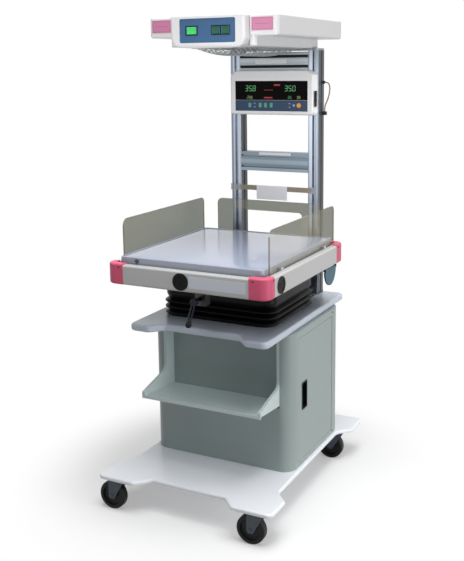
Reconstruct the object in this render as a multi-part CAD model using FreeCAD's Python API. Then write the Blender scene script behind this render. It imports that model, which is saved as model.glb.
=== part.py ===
import FreeCAD
import Part
import math
import os

# Open infant incubator: a bed with an overhead heater hood on a wheeled cabinet.
# Frame: millimetres, +Z up, floor at z = 0, +X to the right of someone who faces the front (-Y).

V = FreeCAD.Vector
PARTS_FOLDER = "parts"
os.makedirs(PARTS_FOLDER, exist_ok=True)

# Clearances and general walls
RUN_GAP = 0.05
SEAT_GAP = 0.3
SWING_GAP = 1.0

# Base plate
BASE_WIDTH = 700.0
BASE_DEPTH = 900.0
BASE_UNDERSIDE = 112.0
BASE_THICK = 16.0
BASE_EDGE_ROUND = 6.5
BASE_NOTCH_DEPTH = 50.5
BASE_NOTCH_HALF = 150.0
BASE_PAD_INNER = 197.0
BASE_WAIST_HALF = 302.0
BASE_WAIST_FRONT = -286.5
BASE_WAIST_REAR = 283.5
BASE_FLARE_FRONT = 50.0
BASE_FLARE_REAR = 45.0
BASE_PAD_ROUND = 24.0
BASE_FLARE_ROUND = 16.0
BASE_WAIST_ROUND = 40.0
BASE_NOTCH_ROUND = 22.0

# Casters
WHEEL_RADIUS = 52.5
WHEEL_WIDTH = 30.0
WHEEL_SHOULDER = 6.0
WHEEL_WEB = 14.0
WHEEL_HUB_RADIUS = 13.0
WHEEL_RIM_RADIUS = 38.0
AXLE_RADIUS = 5.0
AXLE_HEAD_RADIUS = 8.0
AXLE_HEAD_THICK = 2.5
FORK_PLATE = 3.0
FORK_SIDE_GAP = 0.7
FORK_TIP_RADIUS = 11.0
FORK_FRONT_REACH = 52.0
FORK_HEAD_THICK = 3.4
CASTER_TRAIL = 16.0
CASTER_X = 281.0
CASTER_FRONT_Y = -424.0
CASTER_REAR_Y = 310.0
STEM_RADIUS = 8.0
STEM_LENGTH = 11.0

# Cabinet
CABINET_HALF = 290.0
CABINET_FRONT = -146.5
CABINET_REAR = 329.5
CABINET_CORNER = 50.0
CABINET_HEIGHT = 519.0
CABINET_WALL = 12.0
RECESS_DEPTH = 55.0
RECESS_HALF = 242.0
RECESS_FLOOR_Z = 372.0

# Side door and its pull
DOOR_FRONT = -88.5
DOOR_REAR = 248.5
DOOR_BOTTOM = 148.0
DOOR_TOP = 620.0
DOOR_PIN_RADIUS = 3.0
DOOR_PIN_REACH = 14.0
PULL_FRONT = -51.5
PULL_WIDTH = 43.0
PULL_BOTTOM = 342.0
PULL_HEIGHT = 100.0
PULL_FLANGE = 3.0
PULL_PROUD = 1.5
PULL_WALL = 2.0
PULL_DEPTH = 20.0

# Instrument tray and its cheek plates
TRAY_FRONT = -303.5
TRAY_LIP_TOP = 400.0
TRAY_DROP = 20.0
TRAY_FLOOR = 4.0
TRAY_LIP = 12.0
CHEEK_THICK = 11.0
CHEEK_NOSE = 16.0
CHEEK_RISE_Z = 452.0
CHEEK_CURVE = 24.0

# Tabletop
TABLE_HALF = 278.0
TABLE_REAR = 413.5
TABLE_WING_FRONT = -324.0
TABLE_MIDDLE_FRONT = -277.5
TABLE_NOTCH_HALF = 150.0
TABLE_WING_INNER = 195.0
TABLE_CORNER = 26.0
TABLE_THICK = 26.0
TABLE_EDGE_ROUND = 9.0

# Bed tilt: pedestal, shaft and yoke
PIVOT_Y = -47.0
PIVOT_Z = 760.0
SHAFT_RADIUS = 12.0
PEDESTAL_EAR = 14.0
PEDESTAL_HALF = 84.0
PEDESTAL_DEPTH = 130.0
PEDESTAL_FOOT = 10.0
EAR_ROUND = 26.0
YOKE_EAR = 12.0

# Bellows
BELLOWS_HALF_X = 232.0
BELLOWS_FRONT = -178.5
BELLOWS_REAR = 225.5
BELLOWS_CORNER = 50.0
BELLOWS_WALL = 3.0
BELLOWS_WAVE = 12.0
BELLOWS_BOTTOM_FOLDS = 3
BELLOWS_FOLD_PITCH = 22.0
BELLOWS_TAPER = 14.0

# Bed frame and bumpers
RAIL_HALF_X = 316.0
RAIL_FRONT = -393.5
RAIL_REAR = 298.5
RAIL_BOTTOM = 836.0
RAIL_HEIGHT = 71.0
RAIL_THICK = 24.0
RAIL_CORNER = 34.0
RAIL_EDGE_ROUND = 7.0
PAN_THICK = 3.0
CROSSBAR_WIDTH = 30.0
CROSSBAR_HEIGHT = 25.0
CROSSBAR_SPACING = 210.0
BUMPER_SIDE_X = 70.0
BUMPER_FRONT_Y = 51.0
BUMPER_REAR_Y = 73.0
BUMPER_WRAP = 12.0
BUMPER_PROUD = 1.0
BUMPER_TOP_CAP = 4.0
BUMPER_ROUND = 7.0
SOCKET_RADIUS = 30.0
SOCKET_PROUD = 3.0
SOCKET_STUB_RADIUS = 12.0
SOCKET_FRONT_X = -12.0
SOCKET_SIDE_Y = -290.5
SOCKET_DROP = 36.0
RAIL_PLATE_LEFT = 20.0
RAIL_PLATE_RIGHT = 236.0
RAIL_PLATE_DROP = 35.0
RAIL_PLATE_HEIGHT = 40.0
PLATE_THICK = 1.0

# Mattress tray and mattress
BED_SIDE_MARGIN = 35.0
BED_FRONT_MARGIN = 35.0
BED_REAR_MARGIN = 37.0
BED_RISE = 23.0
BED_DEPTH = 37.0
BED_WALL = 6.0
BED_CORNER = 14.0
MATTRESS_PROUD = 2.0
MATTRESS_ROUND = 7.0

# Crank
CRANK_X = 50.0
CRANK_DROP = 24.0
CRANK_HUB_STANDOFF = 16.5
CRANK_SHAFT_RADIUS = 6.0
CRANK_HUB_RADIUS = 13.0
CRANK_HUB_LENGTH = 16.0
CRANK_BLOCK_HALF = 20.0
CRANK_BLOCK_DEPTH = 34.0
CRANK_BLOCK_DROP = 48.0
CRANK_COLLAR = 4.0
CRANK_STOP_RADIUS = 9.0
CRANK_KNOB_X = 26.0
CRANK_KNOB_DROP = 83.0
CRANK_KNOB_RADIUS = 11.0
CRANK_ROD_RADIUS = 3.0
CRANK_ROD_SPREAD = 5.0

# Side panels, their hinges and the rear panel
PANEL_THICK = 5.0
PANEL_INSET = 31.5
PANEL_FRONT = -322.5
PANEL_REAR = 259.5
PANEL_FOOT_RISE = 1.0
PANEL_RISE = 150.0
PANEL_FRONT_ROUND = 28.0
PANEL_REAR_ROUND = 20.0
HINGE_INSET = 25.0
HINGE_RISE = 6.0
HINGE_PIN_RADIUS = 1.8
HINGE_KNUCKLE_RADIUS = 3.5
HINGE_KNUCKLE_LENGTH = 10.0
HINGE_BLOCK_LENGTH = 20.0
HINGE_BLOCK_WIDTH = 11.0
HINGE_NOTCH_RISE = 20.0
HINGE_FRONT_Y = -240.0
HINGE_REAR_Y = 150.0
REAR_PANEL_INSET = 32.5
REAR_PANEL_HALF = 224.0
REAR_PANEL_SUNK = 21.0
REAR_WINDOW_HALF = 152.0
REAR_BAND_HEIGHT = 41.0
REAR_GUIDE_LIP = 2.0
REAR_GUIDE_SUNK = 3.0

# Teal release lever
LEVER_Y = 177.0
LEVER_HALF = 56.0
LEVER_DROP = 66.0
LEVER_THICK = 6.0
LEVER_INSET = 12.0
LEVER_PIN_RADIUS = 2.0
LEVER_PIN_DROP = 7.0
LEVER_EAR = 6.0
LEVER_EAR_HALF = 5.0

# Posts and beams
POST_INNER = 149.0
POST_WIDTH = 44.0
POST_FRONT = 336.0
POST_DEPTH = 58.0
POST_TOP = 1647.0
SLOT_MOUTH = 8.0
SLOT_LIP = 3.0
SLOT_ROOM = 14.0
SLOT_DEPTH = 12.0
POST_BORE = 7.0
FOOT_HEIGHT = 34.0
FOOT_REACH = 30.0
FOOT_PLATE = 5.0
BOLT_RADIUS = 5.0
BOLT_HEAD = 4.0
BEAM_DEPTH = 40.0
TOP_BEAM_BOTTOM = 1570.0
TOP_BEAM_HEIGHT = 73.0
MIDDLE_BEAM_BOTTOM = 1168.0
MIDDLE_BEAM_HEIGHT = 78.0
BEAM_SLOT_INSET = 17.0
TOP_PLATE_SPAN = (-80.0, 57.0)
TOP_PLATE_RISE = 27.5
TOP_PLATE_HEIGHT = 17.0
MIDDLE_PLATE_SPAN = (-66.0, 74.0)
MIDDLE_PLATE_SUNK = 1.5
MIDDLE_PLATE_HEIGHT = 11.0

# Accessory bar
BAR_LEFT = -154.0
BAR_RIGHT = 163.0
BAR_BOTTOM = 1088.0
BAR_HEIGHT = 20.0
BAR_THICK = 5.0
CLIP_LEFT_END = -193.0
CLIP_THICK = 3.0
HANG_PLATE_LEFT = -76.0
HANG_PLATE_RIGHT = 60.0
HANG_PLATE_BOTTOM = 1052.0
HANG_PLATE_THICK = 2.0

# Control box
BOX_FRONT = 308.5
BOX_FRONT_HALF = 177.0
BOX_REAR_HALF = 190.0
BOX_BOTTOM = 1396.0
BOX_TOP = 1571.0
BOX_TOP_CHAMFER_X = 24.0
BOX_TOP_CHAMFER_Z = 17.0
BOX_LOWER_ROUND = 14.0
BOX_FRONT_ROUND = 4.0
BOX_CORNER_ROUND = 8.0
FACE_HALF = 158.0
FACE_INSET = 2.5
DISPLAY_TOP = 1531.0
KEYPAD_BOTTOM = 1412.0
KEYPAD_TOP = 1455.0
KEY_PROUD = 0.8
KEY_ROW_RISE = 23.5
KEY_WIDTH = 12.0
KEY_HEIGHT = 18.0
KEY_PLACES = (-93.0, -47.0, -23.5, 1.5)
ARROW_PLACES = (-71.0, 81.0)
ROUND_KEY_X = 99.5
ROUND_KEY_RADIUS = 5.0
ARROW_SIZE = 8.0
ARROW_SPREAD = 7.0
BUTTON_X = 121.0
BUTTON_RADIUS = 9.0
BUTTON_PROUD = 2.5
BUTTON_DEPTH = 8.0
END_SLOT_BOTTOM = 1429.0
END_SLOT_TOP = 1493.0
END_SLOT_DEPTH = 5.0

# Hood
HOOD_HALF = 253.0
HOOD_FRONT = -166.5
HOOD_REAR = 427.5
HOOD_BOTTOM = 1693.0
HOOD_TOP = 1761.0
HOOD_CORNER = 12.0
HOOD_WALL = 4.0
HOOD_EDGE_ROUND = 8.0
HOOD_SEAM = 1.2
CONSOLE_HALF = 145.0
CONSOLE_FRONT = -201.5
CONSOLE_REAR = -100.0
CONSOLE_BOTTOM = 1652.0
CONSOLE_TOP = 1764.0
CONSOLE_LOWER_ROUND = 34.0
CONSOLE_UPPER_ROUND = 10.0
CONSOLE_WALL = 4.0
SWITCH_PANEL_HALF = 109.0
SWITCH_PANEL_BOTTOM = 1668.0
SWITCH_PANEL_TOP = 1750.0
SWITCH_PANEL_INSET = 6.0
SWITCH_PANEL_THICK = 3.0
ROCKER_RISE = 41.5
ROCKER_HEIGHT = 27.0
ROCKER_DEPTH = 14.0
ROCKER_PIN_RADIUS = 1.5
ROCKER_CHEEK = 3.0
ROCKER_TILT_ROOM = 1.2
WING_LABEL_RIGHT = (153.0, 233.0)
WING_LABEL_LEFT = (-241.0, -164.0)
WING_LABEL_BOTTOM = 1706.0
WING_LABEL_TOP = 1750.0
PAN_HALF = 169.0
PAN_REAR = 398.5
PAN_BOTTOM = 1655.0
PAN_WALL = 4.0
PAN_ROUND = 18.0
HEATER_FRONT = -60.0
HEATER_REAR = 290.0
HEATER_HALF = 140.0
REFLECTOR_THICK = 2.0
REFLECTOR_RISE = 30.0
ELEMENT_RADIUS = 5.0
ELEMENT_COUNT = 3
ELEMENT_RISE = 13.0
GRILLE_DROP = 27.0
GRILLE_BAR = 2.0
GRILLE_FRAME = 3.0
GRILLE_RUN_IN = 40.0
GRILLE_BARS_LONG = 15
GRILLE_BARS_CROSS = 7

# Sensor lead: route points in the plane beside the right post, as (x, z)
LEAD_RADIUS = 2.5
LEAD_Y = 383.5
LEAD_POINTS = (
    (200.0, 1524.0),
    (214.0, 1524.0),
    (222.0, 1507.0),
    (219.5, 1480.0),
    (211.0, 1452.0),
    (200.0, 1432.0),
    (200.0, 1410.0),
)
GLAND_RADIUS = 6.0
GLAND_BLOCK = 14.0

# Heights and places worked out from the sizes above
BASE_TOP = BASE_UNDERSIDE + BASE_THICK
CABINET_TOP = BASE_TOP + CABINET_HEIGHT
TABLE_TOP = CABINET_TOP + TABLE_THICK
RAIL_TOP = RAIL_BOTTOM + RAIL_HEIGHT
POST_CENTRE = POST_INNER + POST_WIDTH / 2
RECESS_BACK = CABINET_FRONT + RECESS_DEPTH
DOOR_AXIS_X = CABINET_HALF - CABINET_WALL / 2
DOOR_AXIS_Y = DOOR_REAR - CABINET_WALL / 2
BOX_REAR = POST_FRONT
BED_TOP = RAIL_TOP + BED_RISE
SOCKET_Z = RAIL_TOP - SOCKET_DROP
RAIL_PLATE_Z = RAIL_TOP - RAIL_PLATE_DROP
CRANK_Z = RAIL_BOTTOM - CRANK_DROP
CRANK_KNOB_Z = CRANK_Z - CRANK_KNOB_DROP
CRANK_HUB_Y = RAIL_FRONT - CRANK_HUB_STANDOFF
PANEL_BOTTOM = RAIL_TOP + PANEL_FOOT_RISE
PANEL_TOP = RAIL_TOP + PANEL_RISE
PANEL_INNER_X = RAIL_HALF_X - PANEL_INSET
HINGE_X = RAIL_HALF_X - HINGE_INSET
HINGE_Z = RAIL_TOP + HINGE_RISE
HINGE_NOTCH_TOP = RAIL_TOP + HINGE_NOTCH_RISE
REAR_PANEL_Y = RAIL_REAR - REAR_PANEL_INSET
REAR_PANEL_FOOT = RAIL_TOP - REAR_PANEL_SUNK
REAR_WINDOW_TOP = PANEL_TOP - REAR_BAND_HEIGHT
REAR_GUIDE_TOP = RAIL_TOP - REAR_GUIDE_SUNK
LEVER_X = RAIL_HALF_X - LEVER_INSET
BED_HALF_X = RAIL_HALF_X - BED_SIDE_MARGIN
BED_FRONT = RAIL_FRONT + BED_FRONT_MARGIN
BED_REAR = RAIL_REAR - BED_REAR_MARGIN
BUMPER_INNER_X = RAIL_HALF_X - BUMPER_SIDE_X
KEY_ROW_Z = KEYPAD_BOTTOM + KEY_ROW_RISE
ROCKER_Z = SWITCH_PANEL_BOTTOM + ROCKER_RISE
ELEMENT_Z = PAN_BOTTOM + ELEMENT_RISE
HOOD_FLOOR = HOOD_BOTTOM - PAN_WALL


def box(x0, x1, y0, y1, z0, z1):
    """Box between two corners."""
    return Part.makeBox(x1 - x0, y1 - y0, z1 - z0, V(x0, y0, z0))


def rod(radius, start, end):
    """Cylinder between two points."""
    axis = end - start
    return Part.makeCylinder(radius, axis.Length, start, axis)


def plan(z):
    """Places outline points in the plan at height z."""
    return lambda u, v: V(u, v, z)


def front_view(y):
    """Places outline points, given as (x, z), in the upright plane at y."""
    return lambda u, v: V(u, y, v)


def side_view(x):
    """Places outline points, given as (y, z), in the upright plane at x."""
    return lambda u, v: V(x, u, v)


def outline(corners, place):
    """Closed wire through (u, v, radius) corners, each rounded by its own radius."""
    arcs = []
    count = len(corners)
    for index, (u, v, radius) in enumerate(corners):
        corner = V(u, v, 0)
        before = V(corners[index - 1][0], corners[index - 1][1], 0)
        after = V(corners[(index + 1) % count][0], corners[(index + 1) % count][1], 0)
        to_before = (before - corner).normalize()
        to_after = (after - corner).normalize()
        half = to_before.getAngle(to_after) / 2
        reach = radius / math.tan(half)
        bisector = (to_before + to_after).normalize()
        middle = corner + bisector * (radius / math.sin(half) - radius)
        arcs.append((corner + to_before * reach, middle, corner + to_after * reach, radius))
    edges = []
    for index, (start, middle, end, radius) in enumerate(arcs):
        if radius > 0:
            ends = [place(point.x, point.y) for point in (start, middle, end)]
            edges.append(Part.Arc(*ends).toShape())
        following = arcs[(index + 1) % count][0]
        if (following - end).Length > 1e-6:
            line = Part.LineSegment(place(end.x, end.y), place(following.x, following.y))
            edges.append(line.toShape())
    return Part.Wire(edges)


def prism(corners, place, depth):
    """Solid made by pushing a rounded outline along the vector depth."""
    return Part.Face(outline(corners, place)).extrude(depth)


def rectangle(x0, x1, y0, y1, radius):
    """Corner list of a rectangle with four equal round corners."""
    return [(x0, y0, radius), (x1, y0, radius), (x1, y1, radius), (x0, y1, radius)]


def mirrored_outline(right_half):
    """Corner list that continues a right half, given front to rear, round the left side."""
    left_half = [(-u, v, radius) for u, v, radius in reversed(right_half)]
    return right_half + left_half


def mirror_x(shape):
    """Copy of a shape on the other side of the plane x = 0."""
    return shape.mirror(V(0, 0, 0), V(1, 0, 0))


def edges_at_height(shape, z):
    """Edges of a shape that lie flat at height z."""
    found = []
    for edge in shape.Edges:
        bounds = edge.BoundBox
        if abs(bounds.ZMin - z) < 1e-4 and abs(bounds.ZMax - z) < 1e-4:
            found.append(edge)
    return found


def edges_at_front(shape, y):
    """Edges of a shape that lie in the upright plane at y."""
    found = []
    for edge in shape.Edges:
        bounds = edge.BoundBox
        if abs(bounds.YMin - y) < 1e-4 and abs(bounds.YMax - y) < 1e-4:
            found.append(edge)
    return found


def join(shapes):
    """One shape fused from several, with leftover seams removed."""
    whole = shapes[0].fuse(list(shapes[1:]))
    return whole.removeSplitter()


def save(name, shape):
    """Writes one node."""
    shape.exportStep(os.path.join(PARTS_FOLDER, name + ".step"))


# Base plate


def base_outline():
    half_width = BASE_WIDTH / 2
    half_depth = BASE_DEPTH / 2
    notch = half_depth - BASE_NOTCH_DEPTH
    return mirrored_outline([
        (BASE_NOTCH_HALF, -notch, BASE_NOTCH_ROUND),
        (BASE_PAD_INNER, -half_depth, BASE_NOTCH_ROUND),
        (half_width, -half_depth, BASE_PAD_ROUND),
        (half_width, BASE_WAIST_FRONT - BASE_FLARE_FRONT, BASE_FLARE_ROUND),
        (BASE_WAIST_HALF, BASE_WAIST_FRONT, BASE_WAIST_ROUND),
        (BASE_WAIST_HALF, BASE_WAIST_REAR, BASE_WAIST_ROUND),
        (half_width, BASE_WAIST_REAR + BASE_FLARE_REAR, BASE_FLARE_ROUND),
        (half_width, half_depth, BASE_PAD_ROUND),
        (BASE_PAD_INNER, half_depth, BASE_NOTCH_ROUND),
        (BASE_NOTCH_HALF, notch, BASE_NOTCH_ROUND),
    ])


def caster_places():
    """Name and swivel axis of each caster."""
    return {
        "front_left": (-CASTER_X, CASTER_FRONT_Y),
        "front_right": (CASTER_X, CASTER_FRONT_Y),
        "rear_left": (-CASTER_X, CASTER_REAR_Y),
        "rear_right": (CASTER_X, CASTER_REAR_Y),
    }


def make_base_plate():
    plate = prism(base_outline(), plan(BASE_UNDERSIDE), V(0, 0, BASE_THICK))
    rims = edges_at_height(plate, BASE_TOP) + edges_at_height(plate, BASE_UNDERSIDE)
    plate = plate.makeFillet(BASE_EDGE_ROUND, rims)
    for x, y in caster_places().values():
        start = V(x, y, BASE_UNDERSIDE - 1)
        end = V(x, y, BASE_UNDERSIDE + STEM_LENGTH + SEAT_GAP)
        plate = plate.cut(rod(STEM_RADIUS + RUN_GAP, start, end))
    return plate


# Casters


def make_fork(x, y):
    """Swivel fork that trails to the left of its stem, with its axle and axle heads."""
    axle_x = x - CASTER_TRAIL
    top = BASE_UNDERSIDE - SEAT_GAP
    inner = WHEEL_WIDTH / 2 + FORK_SIDE_GAP
    outer = inner + FORK_PLATE
    tip = WHEEL_RADIUS - FORK_TIP_RADIUS
    left = axle_x - FORK_TIP_RADIUS
    right = axle_x + FORK_FRONT_REACH
    side = [
        (left, top, 0),
        (right, top, 0),
        (axle_x + FORK_TIP_RADIUS, tip, FORK_TIP_RADIUS * 0.8),
        (left, tip, FORK_TIP_RADIUS * 0.95),
    ]
    near = prism(side, front_view(y - outer), V(0, FORK_PLATE, 0))
    far = prism(side, front_view(y + inner), V(0, FORK_PLATE, 0))
    head = box(left, right, y - outer, y + outer, top - FORK_HEAD_THICK, top)
    stem = rod(STEM_RADIUS, V(x, y, top - 1), V(x, y, BASE_UNDERSIDE + STEM_LENGTH))
    axle = rod(AXLE_RADIUS, V(axle_x, y - outer, WHEEL_RADIUS), V(axle_x, y + outer, WHEEL_RADIUS))
    pieces = [head, near, far, stem, axle]
    for side_y, direction in ((y - outer, -1), (y + outer, 1)):
        end = V(axle_x, side_y + direction * AXLE_HEAD_THICK, WHEEL_RADIUS)
        pieces.append(rod(AXLE_HEAD_RADIUS, V(axle_x, side_y, WHEEL_RADIUS), end))
    return join(pieces)


def make_wheel(x, y):
    """Solid tyre with a dished web and a hub, turned about its axle."""
    half = WHEEL_WIDTH / 2
    bore = AXLE_RADIUS + RUN_GAP
    half_web = WHEEL_WEB / 2
    profile = [
        (bore, -half, 0),
        (WHEEL_HUB_RADIUS, -half, 1.0),
        (WHEEL_HUB_RADIUS, -half_web, 1.5),
        (WHEEL_RIM_RADIUS, -half_web, 1.5),
        (WHEEL_RIM_RADIUS, -half, 1.5),
        (WHEEL_RADIUS, -half, WHEEL_SHOULDER),
        (WHEEL_RADIUS, half, WHEEL_SHOULDER),
        (WHEEL_RIM_RADIUS, half, 1.5),
        (WHEEL_RIM_RADIUS, half_web, 1.5),
        (WHEEL_HUB_RADIUS, half_web, 1.5),
        (WHEEL_HUB_RADIUS, half, 1.0),
        (bore, half, 0),
    ]
    axle_x = x - CASTER_TRAIL
    face = Part.Face(outline(profile, lambda u, v: V(axle_x + u, y + v, WHEEL_RADIUS)))
    return face.revolve(V(axle_x, y, WHEEL_RADIUS), V(0, 1, 0), 360)


# Cabinet


def cabinet_plan(inset):
    return rectangle(
        -CABINET_HALF + inset,
        CABINET_HALF - inset,
        CABINET_FRONT + inset,
        CABINET_REAR - inset,
        CABINET_CORNER - inset,
    )


def make_cabinet_shell():
    """Sheet cabinet with round upright corners, a front recess, a door opening and a hollow."""
    shell = prism(cabinet_plan(0), plan(BASE_TOP), V(0, 0, CABINET_HEIGHT))
    inner_height = CABINET_HEIGHT - 2 * CABINET_WALL
    hollow = prism(cabinet_plan(CABINET_WALL), plan(BASE_TOP + CABINET_WALL), V(0, 0, inner_height))
    lining = box(
        -RECESS_HALF - CABINET_WALL,
        RECESS_HALF + CABINET_WALL,
        CABINET_FRONT,
        RECESS_BACK + CABINET_WALL,
        RECESS_FLOOR_Z - CABINET_WALL,
        CABINET_TOP,
    )
    recess = box(
        -RECESS_HALF, RECESS_HALF, CABINET_FRONT - 1, RECESS_BACK, RECESS_FLOOR_Z, CABINET_TOP + 1
    )
    opening = box(
        CABINET_HALF - CABINET_WALL - 1,
        CABINET_HALF + 1,
        DOOR_FRONT - SWING_GAP,
        DOOR_REAR + SEAT_GAP,
        DOOR_BOTTOM,
        DOOR_TOP,
    )
    return shell.cut(hollow.cut(lining)).cut(recess).cut(opening)


def make_door_pins():
    """Two pivot pins, each rooted in the wall and reaching into the door."""
    lower = rod(
        DOOR_PIN_RADIUS,
        V(DOOR_AXIS_X, DOOR_AXIS_Y, DOOR_BOTTOM),
        V(DOOR_AXIS_X, DOOR_AXIS_Y, DOOR_BOTTOM + DOOR_PIN_REACH),
    )
    upper = rod(
        DOOR_PIN_RADIUS,
        V(DOOR_AXIS_X, DOOR_AXIS_Y, DOOR_TOP - DOOR_PIN_REACH),
        V(DOOR_AXIS_X, DOOR_AXIS_Y, DOOR_TOP),
    )
    return Part.makeCompound([lower, upper])


def make_side_door():
    """Flush door whose rear edge is round about its pivot pins."""
    inner = CABINET_HALF - CABINET_WALL
    half = CABINET_WALL / 2
    corners = [
        (inner, DOOR_FRONT, 0),
        (CABINET_HALF, DOOR_FRONT, 0),
        (CABINET_HALF, DOOR_REAR, half * 0.99),
        (inner, DOOR_REAR, half * 0.99),
    ]
    bottom = DOOR_BOTTOM + SWING_GAP
    top = DOOR_TOP - SWING_GAP
    door = prism(corners, plan(bottom), V(0, 0, top - bottom))
    bore_reach = DOOR_PIN_REACH + SEAT_GAP
    for start, end in (
        (bottom - 1, DOOR_BOTTOM + bore_reach),
        (DOOR_TOP - bore_reach, top + 1),
    ):
        hole = rod(
            DOOR_PIN_RADIUS + RUN_GAP,
            V(DOOR_AXIS_X, DOOR_AXIS_Y, start),
            V(DOOR_AXIS_X, DOOR_AXIS_Y, end),
        )
        door = door.cut(hole)
    cut_through = pull_block(inner - 1, CABINET_HALF + 1, 0)
    return door.cut(cut_through)


def pull_block(x0, x1, grow):
    """Round-cornered block on the finger pull's centre, grown all round."""
    corners = rectangle(
        PULL_FRONT - grow,
        PULL_FRONT + PULL_WIDTH + grow,
        PULL_BOTTOM - grow,
        PULL_BOTTOM + PULL_HEIGHT + grow,
        5.0,
    )
    return prism(corners, side_view(x0), V(x1 - x0, 0, 0))


def make_door_pull():
    """Flanged cup for the fingers, set through the door."""
    flange = pull_block(CABINET_HALF, CABINET_HALF + PULL_PROUD, PULL_FLANGE)
    cup = pull_block(CABINET_HALF - PULL_DEPTH, CABINET_HALF, 0)
    room = pull_block(CABINET_HALF - PULL_DEPTH + PULL_WALL, CABINET_HALF + PULL_PROUD + 1, -PULL_WALL)
    return join([cup, flange]).cut(room)


# Instrument tray


def cheek_profile():
    """Cheek outline whose foot follows the underside of the sloping tray floor."""
    front_z = TRAY_LIP_TOP - TRAY_FLOOR
    return [
        (TRAY_FRONT, front_z, 0),
        (RECESS_BACK, front_z - TRAY_DROP, 0),
        (RECESS_BACK, CABINET_TOP, 0),
        (CABINET_FRONT, CABINET_TOP, 0),
        (CABINET_FRONT, CHEEK_RISE_Z, CHEEK_CURVE),
        (TRAY_FRONT, front_z + CHEEK_NOSE, 3.0),
    ]


def make_instrument_tray():
    """Folded tray floor between two cheek plates that run up the sides of the recess."""
    outer = RECESS_HALF
    inner = RECESS_HALF - CHEEK_THICK
    right = prism(cheek_profile(), side_view(inner), V(CHEEK_THICK, 0, 0))
    floor_back_z = TRAY_LIP_TOP - TRAY_DROP
    floor = [
        (TRAY_FRONT, TRAY_LIP_TOP - TRAY_LIP, 0),
        (TRAY_FRONT + TRAY_FLOOR, TRAY_LIP_TOP - TRAY_LIP, 0),
        (TRAY_FRONT + TRAY_FLOOR, TRAY_LIP_TOP - TRAY_FLOOR, 0),
        (RECESS_BACK, floor_back_z - TRAY_FLOOR, 0),
        (RECESS_BACK, floor_back_z, 0),
        (TRAY_FRONT, TRAY_LIP_TOP, 2.0),
    ]
    pan = prism(floor, side_view(-outer), V(2 * outer, 0, 0))
    return join([pan, right, mirror_x(right)])


# Tabletop


def make_tabletop():
    corners = mirrored_outline([
        (TABLE_NOTCH_HALF, TABLE_MIDDLE_FRONT, 22.0),
        (TABLE_WING_INNER, TABLE_WING_FRONT, 18.0),
        (TABLE_HALF, TABLE_WING_FRONT, TABLE_CORNER),
        (TABLE_HALF, TABLE_REAR, TABLE_CORNER),
    ])
    top = prism(corners, plan(CABINET_TOP), V(0, 0, TABLE_THICK))
    rims = edges_at_height(top, TABLE_TOP) + edges_at_height(top, CABINET_TOP)
    return top.makeFillet(TABLE_EDGE_ROUND, rims)


# Tilt pedestal, shaft and bellows


def ear_profile(foot_half, foot_z, end_z):
    """Upright ear that narrows from its foot to a round end about the pivot."""
    return [
        (PIVOT_Y - foot_half, foot_z, 0),
        (PIVOT_Y + foot_half, foot_z, 0),
        (PIVOT_Y + EAR_ROUND, end_z, EAR_ROUND * 0.9),
        (PIVOT_Y - EAR_ROUND, end_z, EAR_ROUND * 0.9),
    ]


def make_tilt_pedestal():
    half_depth = PEDESTAL_DEPTH / 2
    foot = box(
        -PEDESTAL_HALF - PEDESTAL_FOOT,
        PEDESTAL_HALF + PEDESTAL_FOOT,
        PIVOT_Y - half_depth,
        PIVOT_Y + half_depth,
        TABLE_TOP,
        TABLE_TOP + PEDESTAL_FOOT,
    )
    profile = ear_profile(half_depth, TABLE_TOP, PIVOT_Z + EAR_ROUND)
    right = prism(profile, side_view(PEDESTAL_HALF - PEDESTAL_EAR), V(PEDESTAL_EAR, 0, 0))
    return join([foot, right, mirror_x(right)]).cut(shaft_bore(PEDESTAL_HALF))


def shaft_bore(reach):
    """Running hole for the tilt shaft."""
    return rod(SHAFT_RADIUS + RUN_GAP, V(-reach, PIVOT_Y, PIVOT_Z), V(reach, PIVOT_Y, PIVOT_Z))


def make_tilt_shaft():
    end = PEDESTAL_HALF + PEDESTAL_FOOT / 2
    return rod(SHAFT_RADIUS, V(-end, PIVOT_Y, PIVOT_Z), V(end, PIVOT_Y, PIVOT_Z))


def bellows_ring(z, inset):
    corners = rectangle(
        -BELLOWS_HALF_X + inset,
        BELLOWS_HALF_X - inset,
        BELLOWS_FRONT + inset,
        BELLOWS_REAR - inset,
        BELLOWS_CORNER - inset * 0.5,
    )
    return outline(corners, plan(z))


def bellows_levels():
    """Height and inset of each fold, from the tabletop up to the bed frame."""
    levels = [(TABLE_TOP, BELLOWS_WAVE)]
    z = TABLE_TOP
    for fold in range(BELLOWS_BOTTOM_FOLDS):
        levels.append((z + BELLOWS_FOLD_PITCH / 2, 0.0))
        z += BELLOWS_FOLD_PITCH
        levels.append((z, BELLOWS_WAVE))
    levels.append((z + BELLOWS_FOLD_PITCH / 2, BELLOWS_TAPER - BELLOWS_WAVE))
    levels.append((RAIL_BOTTOM, 0.0))
    return levels


def bellows_solid(inset):
    spans = []
    levels = bellows_levels()
    for (z0, inset0), (z1, inset1) in zip(levels, levels[1:]):
        rings = [bellows_ring(z0, inset0 + inset), bellows_ring(z1, inset1 + inset)]
        spans.append(Part.makeLoft(rings, True, True))
    return join(spans)


def make_bellows():
    """Pleated rubber skirt, open at the top and the bottom."""
    return bellows_solid(0).cut(bellows_solid(BELLOWS_WALL))


# Bed frame and bumpers


def rail_plan(inset, corner):
    return rectangle(
        -RAIL_HALF_X + inset, RAIL_HALF_X - inset, RAIL_FRONT + inset, RAIL_REAR - inset, corner
    )


def rail_ring(inset, bottom, top, edge_round):
    """Closed ring of the four rails, with its outside moved in by inset and its edges rounded."""
    outer = prism(rail_plan(inset, RAIL_CORNER - inset), plan(bottom), V(0, 0, top - bottom))
    if edge_round > 0:
        outer = outer.makeFillet(edge_round, edges_at_height(outer, top) + edges_at_height(outer, bottom))
    return outer.cut(rail_room(bottom, top))


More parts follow.
